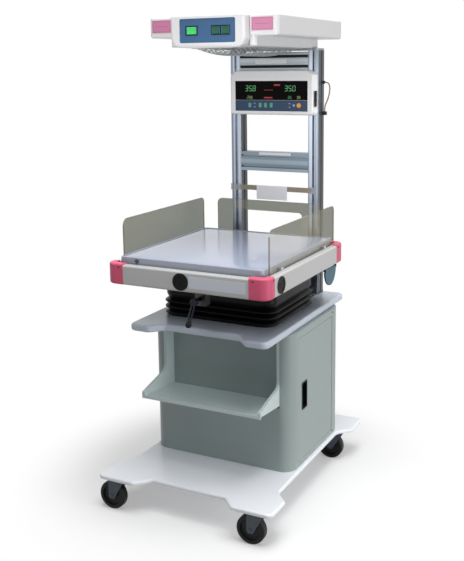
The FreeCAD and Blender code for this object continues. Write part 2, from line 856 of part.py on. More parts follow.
def rail_room(bottom, top):
    """Space inside the four rails."""
    room = rail_plan(RAIL_THICK, RAIL_CORNER - RAIL_THICK)
    return prism(room, plan(bottom - 1), V(0, 0, top - bottom + 2))


def bumper_regions():
    """Corner blocks of space that each bumper takes up, seen in plan."""
    low = RAIL_BOTTOM - 10
    high = RAIL_TOP + 20
    far = RAIL_HALF_X + 20
    front = box(BUMPER_INNER_X, far, RAIL_FRONT - 20, RAIL_FRONT + BUMPER_FRONT_Y, low, high)
    rear = box(BUMPER_INNER_X, far, RAIL_REAR - BUMPER_REAR_Y, RAIL_REAR + 20, low, high)
    return [front, mirror_x(front), rear, mirror_x(rear)]


def corner_core():
    """Ring that the bumpers wrap round."""
    return rail_ring(BUMPER_WRAP, RAIL_BOTTOM, RAIL_TOP - BUMPER_TOP_CAP, 0)


def make_bumpers():
    """Four moulded corner bumpers with rounded edges."""
    top = RAIL_TOP + BUMPER_TOP_CAP
    height = V(0, 0, top - RAIL_BOTTOM)
    body = prism(rail_plan(-BUMPER_PROUD, RAIL_CORNER + BUMPER_PROUD), plan(RAIL_BOTTOM), height)
    body = body.makeFillet(BUMPER_ROUND, edges_at_height(body, top) + edges_at_height(body, RAIL_BOTTOM))
    body = body.cut(rail_room(RAIL_BOTTOM, top)).cut(corner_core())
    return Part.makeCompound([body.common(region) for region in bumper_regions()])


def crossbar(y):
    top = BED_TOP - BED_DEPTH
    half = CROSSBAR_WIDTH / 2
    inner = RAIL_HALF_X - RAIL_THICK
    return box(-inner, inner, y - half, y + half, top - CROSSBAR_HEIGHT, top)


def yoke():
    """Two ears that hang from the crossbar and turn on the tilt shaft."""
    foot_z = BED_TOP - BED_DEPTH - CROSSBAR_HEIGHT
    outer = PEDESTAL_HALF - PEDESTAL_EAR - SEAT_GAP
    profile = ear_profile(PEDESTAL_DEPTH * 0.4, foot_z + 1, PIVOT_Z - EAR_ROUND)
    right = prism(profile, side_view(outer - YOKE_EAR), V(YOKE_EAR, 0, 0))
    return join([right, mirror_x(right)])


def crank_block():
    """Bearing block that hangs under the front rail."""
    front = RAIL_FRONT + RAIL_THICK
    return box(
        CRANK_X - CRANK_BLOCK_HALF,
        CRANK_X + CRANK_BLOCK_HALF,
        front,
        front + CRANK_BLOCK_DEPTH,
        RAIL_BOTTOM - CRANK_BLOCK_DROP,
        RAIL_BOTTOM + 1,
    )


def make_bed_frame():
    """Welded frame: four rails, a closing pan, three crossbars, the yoke and the crank bearing."""
    frame = rail_ring(0, RAIL_BOTTOM, RAIL_TOP, RAIL_EDGE_ROUND)
    core = corner_core()
    kept = []
    for region in bumper_regions():
        frame = frame.cut(region)
        kept.append(core.common(region))
    inner = rail_plan(RAIL_THICK, RAIL_CORNER - RAIL_THICK)
    pan = prism(inner, plan(RAIL_BOTTOM), V(0, 0, PAN_THICK))
    bars = [crossbar(PIVOT_Y + step * CROSSBAR_SPACING) for step in (-1, 0, 1)]
    frame = join([frame, pan, yoke(), crank_block()] + lever_ears() + kept + bars)
    frame = frame.cut(shaft_bore(PEDESTAL_HALF + 1))
    bearing = rod(
        CRANK_SHAFT_RADIUS + RUN_GAP,
        V(CRANK_X, RAIL_FRONT, CRANK_Z),
        V(CRANK_X, RAIL_FRONT + RAIL_THICK + CRANK_BLOCK_DEPTH + 1, CRANK_Z),
    )
    frame = frame.cut(bearing)
    for start, inward in socket_places():
        hole = rod(SOCKET_STUB_RADIUS + RUN_GAP, start - inward, start + inward * (RAIL_THICK / 2))
        frame = frame.cut(hole)
    return frame


def socket_places():
    """Centre on the rail face and inward direction of each round socket cap."""
    return [
        (V(SOCKET_FRONT_X, RAIL_FRONT, SOCKET_Z), V(0, 1, 0)),
        (V(RAIL_HALF_X, SOCKET_SIDE_Y, SOCKET_Z), V(-1, 0, 0)),
        (V(-RAIL_HALF_X, SOCKET_SIDE_Y, SOCKET_Z), V(1, 0, 0)),
    ]


def make_socket_caps():
    """Round caps, each with a shallow dish and a stub in the rail."""
    caps = []
    for start, inward in socket_places():
        face = start - inward * SOCKET_PROUD
        disc = rod(SOCKET_RADIUS, face, start)
        dish = rod(SOCKET_RADIUS * 0.72, face - inward, face + inward * (SOCKET_PROUD * 0.5))
        stub = rod(SOCKET_STUB_RADIUS, start, start + inward * (RAIL_THICK / 2 - SEAT_GAP))
        caps.append(join([disc, stub]).cut(dish))
    return Part.makeCompound(caps)


def make_rail_plate():
    half = RAIL_PLATE_HEIGHT / 2
    corners = rectangle(RAIL_PLATE_LEFT, RAIL_PLATE_RIGHT, RAIL_PLATE_Z - half, RAIL_PLATE_Z + half, 3.0)
    return prism(corners, front_view(RAIL_FRONT - PLATE_THICK), V(0, PLATE_THICK, 0))


# Mattress tray and mattress


def bed_plan(inset):
    return rectangle(
        -BED_HALF_X + inset, BED_HALF_X - inset, BED_FRONT + inset, BED_REAR - inset, BED_CORNER - inset
    )


def make_bed_tray():
    """Moulded tray with a raised rim that holds the mattress."""
    bottom = BED_TOP - BED_DEPTH
    tray = prism(bed_plan(0), plan(bottom), V(0, 0, BED_DEPTH))
    tray = tray.makeFillet(BED_WALL * 0.45, edges_at_height(tray, BED_TOP))
    room = prism(bed_plan(BED_WALL), plan(bottom + BED_WALL), V(0, 0, BED_DEPTH))
    return tray.cut(room)


def make_mattress():
    bottom = BED_TOP - BED_DEPTH + BED_WALL
    top = BED_TOP + MATTRESS_PROUD
    pad = prism(bed_plan(BED_WALL + SEAT_GAP), plan(bottom), V(0, 0, top - bottom))
    return pad.makeFillet(MATTRESS_ROUND, edges_at_height(pad, top))


# Crank


def make_crank_arm():
    """Shaft, hub and the two bright rods that carry the knob."""
    hub_front = CRANK_HUB_Y - CRANK_HUB_LENGTH / 2
    shaft_end = RAIL_FRONT + RAIL_THICK + CRANK_BLOCK_DEPTH + SEAT_GAP
    shaft = rod(CRANK_SHAFT_RADIUS, V(CRANK_X, hub_front, CRANK_Z), V(CRANK_X, shaft_end, CRANK_Z))
    hub_rear = CRANK_HUB_Y + CRANK_HUB_LENGTH / 2
    hub = rod(CRANK_HUB_RADIUS, V(CRANK_X, hub_front, CRANK_Z), V(CRANK_X, hub_rear, CRANK_Z))
    stop_end = RAIL_FRONT + RAIL_THICK - SEAT_GAP
    stop = rod(CRANK_STOP_RADIUS, V(CRANK_X, stop_end - CRANK_COLLAR, CRANK_Z), V(CRANK_X, stop_end, CRANK_Z))
    collar_end = shaft_end + CRANK_COLLAR
    collar = rod(CRANK_STOP_RADIUS, V(CRANK_X, shaft_end, CRANK_Z), V(CRANK_X, collar_end, CRANK_Z))
    down = V(CRANK_KNOB_X - CRANK_X, 0, CRANK_KNOB_Z - CRANK_Z)
    side = V(-down.z, 0, down.x).normalize() * CRANK_ROD_SPREAD
    centre = V(CRANK_X, CRANK_HUB_Y, CRANK_Z)
    rods = [rod(CRANK_ROD_RADIUS, centre + side * turn, centre + side * turn + down) for turn in (-1, 1)]
    arm = join([shaft, hub, stop, collar] + rods)
    knob = Part.makeSphere(CRANK_KNOB_RADIUS, V(CRANK_KNOB_X, CRANK_HUB_Y, CRANK_KNOB_Z))
    return arm.cut(knob)


def make_crank_knob():
    return Part.makeSphere(CRANK_KNOB_RADIUS, V(CRANK_KNOB_X, CRANK_HUB_Y, CRANK_KNOB_Z))


# Side panels and their hinges


def make_side_panel():
    """Right side panel: a sheet notched round its hinges, with knuckles and pins."""
    corners = [
        (PANEL_FRONT, PANEL_BOTTOM, 4.0),
        (PANEL_REAR, PANEL_BOTTOM, 4.0),
        (PANEL_REAR, PANEL_TOP, PANEL_REAR_ROUND),
        (PANEL_FRONT, PANEL_TOP, PANEL_FRONT_ROUND),
    ]
    sheet = prism(corners, side_view(PANEL_INNER_X), V(PANEL_THICK, 0, 0))
    pieces = []
    for y in (HINGE_FRONT_Y, HINGE_REAR_Y):
        half = HINGE_BLOCK_LENGTH / 2 + SEAT_GAP
        sheet = sheet.cut(
            box(
                PANEL_INNER_X - 1,
                PANEL_INNER_X + PANEL_THICK + 1,
                y - half,
                y + half,
                PANEL_BOTTOM - 1,
                HINGE_NOTCH_TOP,
            )
        )
        end = half + HINGE_KNUCKLE_LENGTH
        pieces.append(rod(HINGE_KNUCKLE_RADIUS, V(HINGE_X, y - end, HINGE_Z), V(HINGE_X, y - half, HINGE_Z)))
        pieces.append(rod(HINGE_KNUCKLE_RADIUS, V(HINGE_X, y + half, HINGE_Z), V(HINGE_X, y + end, HINGE_Z)))
        pieces.append(rod(HINGE_PIN_RADIUS, V(HINGE_X, y - half, HINGE_Z), V(HINGE_X, y + half, HINGE_Z)))
    return join([sheet] + pieces)


def make_panel_hinges():
    """Four hinge blocks on the side rails, each bored for a panel's pin."""
    blocks = []
    for y in (HINGE_FRONT_Y, HINGE_REAR_Y):
        start = y - HINGE_BLOCK_LENGTH / 2
        left = RAIL_HALF_X - RAIL_THICK - 5
        corners = [
            (left, RAIL_TOP, 0),
            (left + HINGE_BLOCK_WIDTH, RAIL_TOP, 0),
            (left + HINGE_BLOCK_WIDTH, HINGE_Z + 5, 3.0),
            (left, HINGE_Z + 5, 3.0),
        ]
        block = prism(corners, front_view(start), V(0, HINGE_BLOCK_LENGTH, 0))
        bore = rod(
            HINGE_PIN_RADIUS + RUN_GAP,
            V(HINGE_X, start - 1, HINGE_Z),
            V(HINGE_X, start + HINGE_BLOCK_LENGTH + 1, HINGE_Z),
        )
        block = block.cut(bore)
        blocks.append(block)
        blocks.append(mirror_x(block))
    return Part.makeCompound(blocks)


def make_rear_panel():
    """Smoked sheet with an inverted U window; its two legs stand in the guides."""
    corners = [
        (REAR_WINDOW_HALF, REAR_PANEL_FOOT, 0),
        (REAR_PANEL_HALF, REAR_PANEL_FOOT, 3.0),
        (REAR_PANEL_HALF, PANEL_TOP, PANEL_REAR_ROUND),
        (-REAR_PANEL_HALF, PANEL_TOP, PANEL_REAR_ROUND),
        (-REAR_PANEL_HALF, REAR_PANEL_FOOT, 3.0),
        (-REAR_WINDOW_HALF, REAR_PANEL_FOOT, 0),
        (-REAR_WINDOW_HALF, REAR_WINDOW_TOP, 14.0),
        (REAR_WINDOW_HALF, REAR_WINDOW_TOP, 14.0),
    ]
    return prism(corners, front_view(REAR_PANEL_Y), V(0, PANEL_THICK, 0))


def make_rear_guides():
    """Two channels on the inside of the rear rail that hold the rear panel's legs."""
    gap = SEAT_GAP
    rail_face = RAIL_REAR - RAIL_THICK
    front = REAR_PANEL_Y - gap - REAR_GUIDE_LIP
    floor = REAR_PANEL_FOOT - gap
    left = REAR_WINDOW_HALF - 6
    right = REAR_PANEL_HALF + 6
    channel = box(left, right, front, rail_face, floor - 4, REAR_GUIDE_TOP)
    slot = box(
        REAR_WINDOW_HALF - gap,
        REAR_PANEL_HALF + gap,
        REAR_PANEL_Y - gap,
        REAR_PANEL_Y + PANEL_THICK + gap,
        floor,
        REAR_GUIDE_TOP + 1,
    )
    guide = channel.cut(slot)
    return Part.makeCompound([guide, mirror_x(guide)])


# Teal release lever


def make_release_lever():
    """Half-elliptical paddle with its pivot pin along its upper edge."""
    top = RAIL_BOTTOM - LEVER_PIN_DROP
    centre = V(LEVER_X, LEVER_Y, top)
    ellipse = Part.Ellipse(centre - V(0, 0, LEVER_DROP), centre + V(0, LEVER_HALF, 0), centre)
    whole = Part.Face(Part.Wire([ellipse.toShape()])).extrude(V(LEVER_THICK, 0, 0))
    wide = 2 * LEVER_HALF
    lower = box(LEVER_X - 1, LEVER_X + LEVER_THICK + 1, LEVER_Y - wide, LEVER_Y + wide, top - wide, top)
    paddle = whole.common(lower)
    middle = LEVER_X + LEVER_THICK / 2
    reach = LEVER_HALF - LEVER_EAR - SEAT_GAP
    barrel = rod(LEVER_THICK / 2, V(middle, LEVER_Y - reach, top), V(middle, LEVER_Y + reach, top))
    pin = rod(LEVER_PIN_RADIUS, V(middle, LEVER_Y - LEVER_HALF, top), V(middle, LEVER_Y + LEVER_HALF, top))
    for start in (LEVER_Y - LEVER_HALF - 1, LEVER_Y + LEVER_HALF - LEVER_EAR - SEAT_GAP):
        end = start + LEVER_EAR + SEAT_GAP + 1
        slot = box(LEVER_X - 2, LEVER_X + LEVER_THICK + 2, start, end, top - LEVER_EAR_HALF - 3, top + 8)
        paddle = paddle.cut(slot)
    return join([paddle, barrel, pin])


def lever_ears():
    """Two bored ears under the right side rail that carry the lever's pin."""
    pin_z = RAIL_BOTTOM - LEVER_PIN_DROP
    middle = LEVER_X + LEVER_THICK / 2
    ears = []
    for start in (LEVER_Y - LEVER_HALF, LEVER_Y + LEVER_HALF - LEVER_EAR):
        half = LEVER_EAR_HALF
        ear = box(middle - half, middle + half, start, start + LEVER_EAR, pin_z - half, RAIL_BOTTOM)
        bore_start = V(middle, start - 1, pin_z)
        bore = rod(LEVER_PIN_RADIUS + RUN_GAP, bore_start, bore_start + V(0, LEVER_EAR + 2, 0))
        ears.append(ear.cut(bore))
    return ears


# Posts, beams and what hangs on them


def t_slot(centre_x, centre_y, direction_x, direction_y, bottom, height):
    """Slot with a narrow mouth and a wide room, cut upright into a post face."""
    slots = []
    for half, start, end in (
        (SLOT_MOUTH / 2, -1.0, SLOT_DEPTH),
        (SLOT_ROOM / 2, SLOT_LIP, SLOT_DEPTH),
    ):
        if direction_x:
            xs = sorted((centre_x + direction_x * start, centre_x + direction_x * end))
            slots.append(box(xs[0], xs[1], centre_y - half, centre_y + half, bottom, bottom + height))
        else:
            ys = sorted((centre_y + direction_y * start, centre_y + direction_y * end))
            slots.append(box(centre_x - half, centre_x + half, ys[0], ys[1], bottom, bottom + height))
    return slots


def make_post():
    """Right post: an extrusion with a slot in each face and a bore down its middle."""
    left = POST_INNER
    right = POST_INNER + POST_WIDTH
    rear = POST_FRONT + POST_DEPTH
    height = POST_TOP - TABLE_TOP
    post = prism(rectangle(left, right, POST_FRONT, rear, 2.0), plan(TABLE_TOP), V(0, 0, height))
    middle_y = POST_FRONT + POST_DEPTH / 2
    cuts = [rod(POST_BORE, V(POST_CENTRE, middle_y, TABLE_TOP - 1), V(POST_CENTRE, middle_y, POST_TOP + 1))]
    cuts += t_slot(POST_CENTRE, POST_FRONT, 0, 1, TABLE_TOP - 1, height + 2)
    cuts += t_slot(POST_CENTRE, rear, 0, -1, TABLE_TOP - 1, height + 2)
    cuts += t_slot(left, middle_y, 1, 0, TABLE_TOP - 1, height + 2)
    cuts += t_slot(right, middle_y, -1, 0, TABLE_TOP - 1, height + 2)
    return post.cut(cuts)


def make_post_feet():
    """Angle brackets that bolt each post's front and rear faces to the tabletop."""
    feet = []
    half = POST_WIDTH / 2 - 3
    for face, direction in ((POST_FRONT, -1), (POST_FRONT + POST_DEPTH, 1)):
        reach = FOOT_REACH if direction < 0 else TABLE_REAR - TABLE_EDGE_ROUND - face
        profile = [
            (face, TABLE_TOP, 0),
            (face + direction * reach, TABLE_TOP, 0),
            (face + direction * reach, TABLE_TOP + FOOT_PLATE, 0),
            (face + direction * FOOT_PLATE, TABLE_TOP + FOOT_PLATE, 2.0),
            (face + direction * FOOT_PLATE, TABLE_TOP + FOOT_HEIGHT, 0),
            (face, TABLE_TOP + FOOT_HEIGHT, 0),
        ]
        angle = prism(profile, side_view(POST_CENTRE - half), V(2 * half, 0, 0))
        bolt_z = TABLE_TOP + FOOT_HEIGHT * 0.62
        start = V(POST_CENTRE, face + direction * FOOT_PLATE, bolt_z)
        pieces = [angle, rod(BOLT_RADIUS, start, start + V(0, direction * BOLT_HEAD, 0))]
        if direction < 0:
            for side in (-1, 1):
                base = V(POST_CENTRE + side * half / 2, face - FOOT_REACH * 0.62, TABLE_TOP + FOOT_PLATE)
                pieces.append(rod(BOLT_RADIUS * 0.9, base, base + V(0, 0, BOLT_HEAD)))
        foot = join(pieces)
        feet.append(foot)
        feet.append(mirror_x(foot))
    return Part.makeCompound(feet)


def make_beam(bottom, height):
    """Cross beam between the posts with two long slots in its front and in its rear face."""
    beam = box(-POST_INNER, POST_INNER, POST_FRONT, POST_FRONT + BEAM_DEPTH, bottom, bottom + height)
    for z in (bottom + BEAM_SLOT_INSET, bottom + height - BEAM_SLOT_INSET):
        for face, direction in ((POST_FRONT, 1), (POST_FRONT + BEAM_DEPTH, -1)):
            for half, start, end in (
                (SLOT_MOUTH / 2, -1.0, SLOT_DEPTH),
                (SLOT_ROOM / 2, SLOT_LIP, SLOT_DEPTH),
            ):
                ys = sorted((face + direction * start, face + direction * end))
                beam = beam.cut(box(-POST_INNER - 1, POST_INNER + 1, ys[0], ys[1], z - half, z + half))
    return beam


def make_blank_plates():
    """Blank plates on the two beams."""
    low = TOP_BEAM_BOTTOM + TOP_PLATE_RISE
    upper = rectangle(*TOP_PLATE_SPAN, low, low + TOP_PLATE_HEIGHT, 2.0)
    high = MIDDLE_BEAM_BOTTOM + MIDDLE_BEAM_HEIGHT - MIDDLE_PLATE_SUNK
    lower = rectangle(*MIDDLE_PLATE_SPAN, high - MIDDLE_PLATE_HEIGHT, high, 2.0)
    place = front_view(POST_FRONT - PLATE_THICK)
    return Part.makeCompound([prism(corners, place, V(0, PLATE_THICK, 0)) for corners in (upper, lower)])


def make_accessory_bar():
    """Smoked bar across the front of the posts."""
    corners = rectangle(BAR_LEFT, BAR_RIGHT, BAR_BOTTOM, BAR_BOTTOM + BAR_HEIGHT, 3.0)
    return prism(corners, front_view(POST_FRONT - BAR_THICK), V(0, BAR_THICK, 0))


def make_accessory_clips():
    """Two clear clips on the posts that hold the ends of the bar."""
    front = POST_FRONT - BAR_THICK - CLIP_THICK
    low = BAR_BOTTOM - 3
    high = BAR_BOTTOM + BAR_HEIGHT + 3
    left = box(CLIP_LEFT_END, BAR_LEFT + 12, front, POST_FRONT, low, high)
    right = box(BAR_RIGHT - 8, BAR_RIGHT + 14, front, POST_FRONT, low, high)
    bar_top = BAR_BOTTOM + BAR_HEIGHT
    room = box(BAR_LEFT, BAR_RIGHT, POST_FRONT - BAR_THICK, POST_FRONT + 1, BAR_BOTTOM, bar_top)
    return Part.makeCompound([left.cut(room), right.cut(room)])


def make_hanging_plate():
    """Pale blank plate fixed to the front of the bar and hanging below it."""
    front = POST_FRONT - BAR_THICK - HANG_PLATE_THICK
    top = BAR_BOTTOM + BAR_HEIGHT
    corners = rectangle(HANG_PLATE_LEFT, HANG_PLATE_RIGHT, HANG_PLATE_BOTTOM, top, 2.0)
    return prism(corners, front_view(front), V(0, HANG_PLATE_THICK, 0))


# Control box


def box_outline(half, bottom, y):
    corners = mirrored_outline([
        (half, bottom, BOX_LOWER_ROUND),
        (half, BOX_TOP - BOX_TOP_CHAMFER_Z, BOX_CORNER_ROUND),
        (half - BOX_TOP_CHAMFER_X, BOX_TOP, BOX_CORNER_ROUND),
    ])
    return outline(corners, front_view(y))


def make_control_box():
    """Moulded box that widens to the rear, with a sunk face and a slot in its right end."""
    rings = [
        box_outline(BOX_FRONT_HALF, BOX_BOTTOM + 4, BOX_FRONT),
        box_outline(BOX_REAR_HALF, BOX_BOTTOM, BOX_REAR - 6),
    ]
    body = Part.makeLoft(rings, True, True)
    body = body.makeFillet(BOX_FRONT_ROUND, edges_at_front(body, BOX_FRONT))
    back = Part.Face(box_outline(BOX_REAR_HALF, BOX_BOTTOM, BOX_REAR - 6)).extrude(V(0, 6, 0))
    face = box(-FACE_HALF, FACE_HALF, BOX_FRONT - 1, BOX_FRONT + FACE_INSET, KEYPAD_BOTTOM, DISPLAY_TOP)
    end_slot = box(
        BOX_REAR_HALF - END_SLOT_DEPTH - 6,
        BOX_REAR_HALF + 1,
        BOX_FRONT + 6,
        BOX_REAR - 6,
        END_SLOT_BOTTOM,
        END_SLOT_TOP,
    )
    button_room = rod(
        BUTTON_RADIUS + SEAT_GAP,
        V(BUTTON_X, BOX_FRONT, KEY_ROW_Z),
        V(BUTTON_X, BOX_FRONT + BUTTON_DEPTH + 3, KEY_ROW_Z),
    )
    return join([body, back]).cut([face, end_slot, button_room])


def make_display():
    front = BOX_FRONT + 0.5
    corners = rectangle(-FACE_HALF, FACE_HALF, KEYPAD_TOP + 1, DISPLAY_TOP, 0.5)
    return prism(corners, front_view(front), V(0, BOX_FRONT + FACE_INSET - front, 0))


def make_keypad():
    front = BOX_FRONT + 0.5
    corners = rectangle(-FACE_HALF, FACE_HALF, KEYPAD_BOTTOM, KEYPAD_TOP, 0.5)
    pad = prism(corners, front_view(front), V(0, BOX_FRONT + FACE_INSET - front, 0))
    start = V(BUTTON_X, BOX_FRONT - 1, KEY_ROW_Z)
    return pad.cut(rod(BUTTON_RADIUS + SEAT_GAP, start, start + V(0, 5, 0)))


def make_keys():
    """Domed keys of the keypad: four upright ones, two pairs of arrows and a round one."""
    back = BOX_FRONT + 0.5
    keys = []
    for x in KEY_PLACES:
        half = KEY_WIDTH / 2
        tall = KEY_HEIGHT / 2
        corners = rectangle(x - half, x + half, KEY_ROW_Z - tall, KEY_ROW_Z + tall, 2.0)
        keys.append(prism(corners, front_view(back), V(0, -KEY_PROUD, 0)))
    for x in ARROW_PLACES:
        for side in (-1, 1):
            z = KEY_ROW_Z + side * ARROW_SPREAD
            half = ARROW_SIZE / 2
            foot = z - side * half / 2
            corners = [(x - half, foot, 0.6), (x + half, foot, 0.6), (x, z + side * half, 0.6)]
            keys.append(prism(corners, front_view(back), V(0, -KEY_PROUD, 0)))
    round_key = V(ROUND_KEY_X, back, KEY_ROW_Z)
    keys.append(rod(ROUND_KEY_RADIUS, round_key - V(0, KEY_PROUD, 0), round_key))
    return Part.makeCompound(keys)


def make_standby_button():
    """Round push button that slides in the control box."""
    start = V(BUTTON_X, BOX_FRONT - BUTTON_PROUD, KEY_ROW_Z)
    button = rod(BUTTON_RADIUS, start, start + V(0, BUTTON_PROUD + BUTTON_DEPTH, 0))
    return button.makeFillet(1.5, edges_at_front(button, BOX_FRONT - BUTTON_PROUD))


# Hood


def hood_plan(inset):
    return rectangle(
        -HOOD_HALF + inset, HOOD_HALF - inset, HOOD_FRONT + inset, HOOD_REAR - inset, HOOD_CORNER - inset
    )


def console_room(grow):
    """Space that the console takes out of the hood."""
    return box(
        -CONSOLE_HALF - grow,
        CONSOLE_HALF + grow,
        HOOD_FRONT - 60,
        CONSOLE_REAR + grow,
        PAN_BOTTOM - 20,
        HOOD_TOP + 20,
    )


def make_hood_shell():
    """Moulded upper shell, open below, notched for the console."""
    shell = prism(hood_plan(0), plan(HOOD_BOTTOM), V(0, 0, HOOD_TOP - HOOD_BOTTOM))
    shell = shell.makeFillet(HOOD_EDGE_ROUND, edges_at_height(shell, HOOD_TOP))
    room = prism(hood_plan(HOOD_WALL), plan(HOOD_BOTTOM - 1), V(0, 0, HOOD_TOP - HOOD_BOTTOM - HOOD_WALL + 1))
    wall = HOOD_WALL
    keep = box(
        -CONSOLE_HALF - wall,
        CONSOLE_HALF + wall,
        HOOD_FRONT,
        CONSOLE_REAR + wall,
        HOOD_BOTTOM,
        HOOD_TOP,
    )
    return shell.cut(room.cut(keep)).cut(console_room(HOOD_SEAM))


def console_body(inset, y0, y1):
    corners = [
        (-CONSOLE_HALF + inset, CONSOLE_BOTTOM + inset, CONSOLE_LOWER_ROUND),
        (CONSOLE_HALF - inset, CONSOLE_BOTTOM + inset, CONSOLE_LOWER_ROUND),
        (CONSOLE_HALF - inset, CONSOLE_TOP - inset, CONSOLE_UPPER_ROUND),
        (-CONSOLE_HALF + inset, CONSOLE_TOP - inset, CONSOLE_UPPER_ROUND),
    ]
    return prism(corners, front_view(y0), V(0, y1 - y0, 0))


def make_console():
    """Control body in the middle of the hood's front, with a sunk switch panel."""
    body = console_body(0, CONSOLE_FRONT, CONSOLE_REAR)
    body = body.makeFillet(CONSOLE_UPPER_ROUND * 0.9, edges_at_front(body, CONSOLE_FRONT))
    hollow_front = CONSOLE_FRONT + SWITCH_PANEL_INSET + 2 * CONSOLE_WALL
    hollow = console_body(CONSOLE_WALL, hollow_front, CONSOLE_REAR + 1)
    recess = prism(
        rectangle(-SWITCH_PANEL_HALF, SWITCH_PANEL_HALF, SWITCH_PANEL_BOTTOM, SWITCH_PANEL_TOP, 6.0),
        front_view(CONSOLE_FRONT - 1),
        V(0, SWITCH_PANEL_INSET + 1, 0),
    )
    window = prism(
        rectangle(-SWITCH_PANEL_HALF + 8, SWITCH_PANEL_HALF - 8, ROCKER_Z - 26, ROCKER_Z + 26, 4.0),
        front_view(CONSOLE_FRONT),
        V(0, 40, 0),
    )
    return body.cut([hollow, recess, window])


def rockers():
    """Name, centre x and width of each rocker switch."""
    return (
        ("rocker_power", -61.5, 35.0),
        ("rocker_lamp", 33.5, 23.0),
        ("rocker_alarm", 69.5, 23.0),
    )


def rocker_axis_y():
    return CONSOLE_FRONT + SWITCH_PANEL_INSET + 2.0


def make_switch_panel():
    """Blue panel with an opening and two bearing cheeks for each rocker."""
    front = CONSOLE_FRONT + SWITCH_PANEL_INSET - SWITCH_PANEL_THICK
    panel = prism(
        rectangle(-SWITCH_PANEL_HALF, SWITCH_PANEL_HALF, SWITCH_PANEL_BOTTOM, SWITCH_PANEL_TOP, 6.0),
        front_view(front),
        V(0, SWITCH_PANEL_THICK, 0),
    )
    cheeks = []
    holes = []
    axis_y = rocker_axis_y()
    for name, x, width in rockers():
        half = width / 2 + SEAT_GAP
        tall = ROCKER_HEIGHT / 2 + ROCKER_TILT_ROOM
        back = front + SWITCH_PANEL_THICK
        holes.append(box(x - half, x + half, front - 1, back + 1, ROCKER_Z - tall, ROCKER_Z + tall))
        for start in (x - half - ROCKER_CHEEK, x + half):
            cheeks.append(box(start, start + ROCKER_CHEEK, back, axis_y + 5, ROCKER_Z - 5, ROCKER_Z + 5))
        reach = half + ROCKER_CHEEK
        pin_end = V(x + reach, axis_y, ROCKER_Z)
        holes.append(rod(ROCKER_PIN_RADIUS + RUN_GAP, V(x - reach, axis_y, ROCKER_Z), pin_end))
    return join([panel] + cheeks).cut(holes)


def make_rocker(x, width):
    """Rocker with a shallow V front that turns on two stub pins."""
    half = width / 2
    tall = ROCKER_HEIGHT / 2
    axis_y = rocker_axis_y()
    front = axis_y - ROCKER_DEPTH / 2
    profile = [
        (front - 1.0, ROCKER_Z - tall, 1.5),
        (axis_y + 3, ROCKER_Z - tall * 0.6, 2.0),
        (axis_y + 3, ROCKER_Z + tall * 0.6, 2.0),
        (front - 1.0, ROCKER_Z + tall, 1.5),
        (front + 1.5, ROCKER_Z, 6.0),
    ]
    body = prism(profile, side_view(x - half), V(width, 0, 0))
    reach = half + SEAT_GAP + ROCKER_CHEEK
    pin = rod(ROCKER_PIN_RADIUS, V(x - reach, axis_y, ROCKER_Z), V(x + reach, axis_y, ROCKER_Z))
    return join([body, pin])


def make_wing_labels():
    labels = []
    for left, right in (WING_LABEL_LEFT, WING_LABEL_RIGHT):
        corners = rectangle(left, right, WING_LABEL_BOTTOM, WING_LABEL_TOP, 3.0)
        labels.append(prism(corners, front_view(HOOD_FRONT - PLATE_THICK), V(0, PLATE_THICK, 0)))
    return Part.makeCompound(labels)


def heater_opening(z0, z1, grow):
    corners = rectangle(
        -HEATER_HALF - grow, HEATER_HALF + grow, HEATER_FRONT - grow, HEATER_REAR + grow, 20.0 + grow
    )
    return prism(corners, plan(z0), V(0, 0, z1 - z0))


def make_heater_pan():
    """Lower body of the hood: a pan with a round rear end and a floor that closes the shell."""
    corners = [
        (-PAN_HALF, HOOD_FRONT + HOOD_WALL, 12.0),
        (PAN_HALF, HOOD_FRONT + HOOD_WALL, 12.0),
        (PAN_HALF, PAN_REAR, PAN_ROUND),
        (-PAN_HALF, PAN_REAR, PAN_ROUND),
    ]
    pan = prism(corners, plan(PAN_BOTTOM), V(0, 0, HOOD_FLOOR - PAN_BOTTOM))
    pan = pan.makeFillet(5.0, edges_at_height(pan, PAN_BOTTOM))
    room_corners = [
        (-PAN_HALF + PAN_WALL, CONSOLE_REAR + PAN_WALL, 8.0),
        (PAN_HALF - PAN_WALL, CONSOLE_REAR + PAN_WALL, 8.0),
        (PAN_HALF - PAN_WALL, PAN_REAR - PAN_WALL, PAN_ROUND - PAN_WALL),
        (-PAN_HALF + PAN_WALL, PAN_REAR - PAN_WALL, PAN_ROUND - PAN_WALL),
    ]
    room = prism(room_corners, plan(PAN_BOTTOM + PAN_WALL), V(0, 0, HOOD_FLOOR))
    floor = prism(hood_plan(HOOD_WALL), plan(HOOD_FLOOR), V(0, 0, HOOD_BOTTOM - HOOD_FLOOR))
    pan = join([pan.cut(room), floor])
    return pan.cut([console_room(0), heater_opening(PAN_BOTTOM - 1, PAN_BOTTOM + PAN_WALL + 1, 0)])


def make_reflector():
    """Bent sheet trough above the heater elements."""
    half = HEATER_HALF + 8
    low = PAN_BOTTOM + PAN_WALL
    high = low + REFLECTOR_RISE - REFLECTOR_THICK
    slope = 40.0
    thick = REFLECTOR_THICK
    profile = [
        (-half, low, 0),
        (-half + slope, high, 12.0),
        (half - slope, high, 12.0),
        (half, low, 0),
        (half - thick * 1.6, low, 0),
        (half - slope - thick * 0.4, high - thick, 10.0),
        (-half + slope + thick * 0.4, high - thick, 10.0),
        (-half + thick * 1.6, low, 0),
    ]
    return prism(profile, front_view(HEATER_FRONT - 8), V(0, HEATER_REAR - HEATER_FRONT + 16, 0))


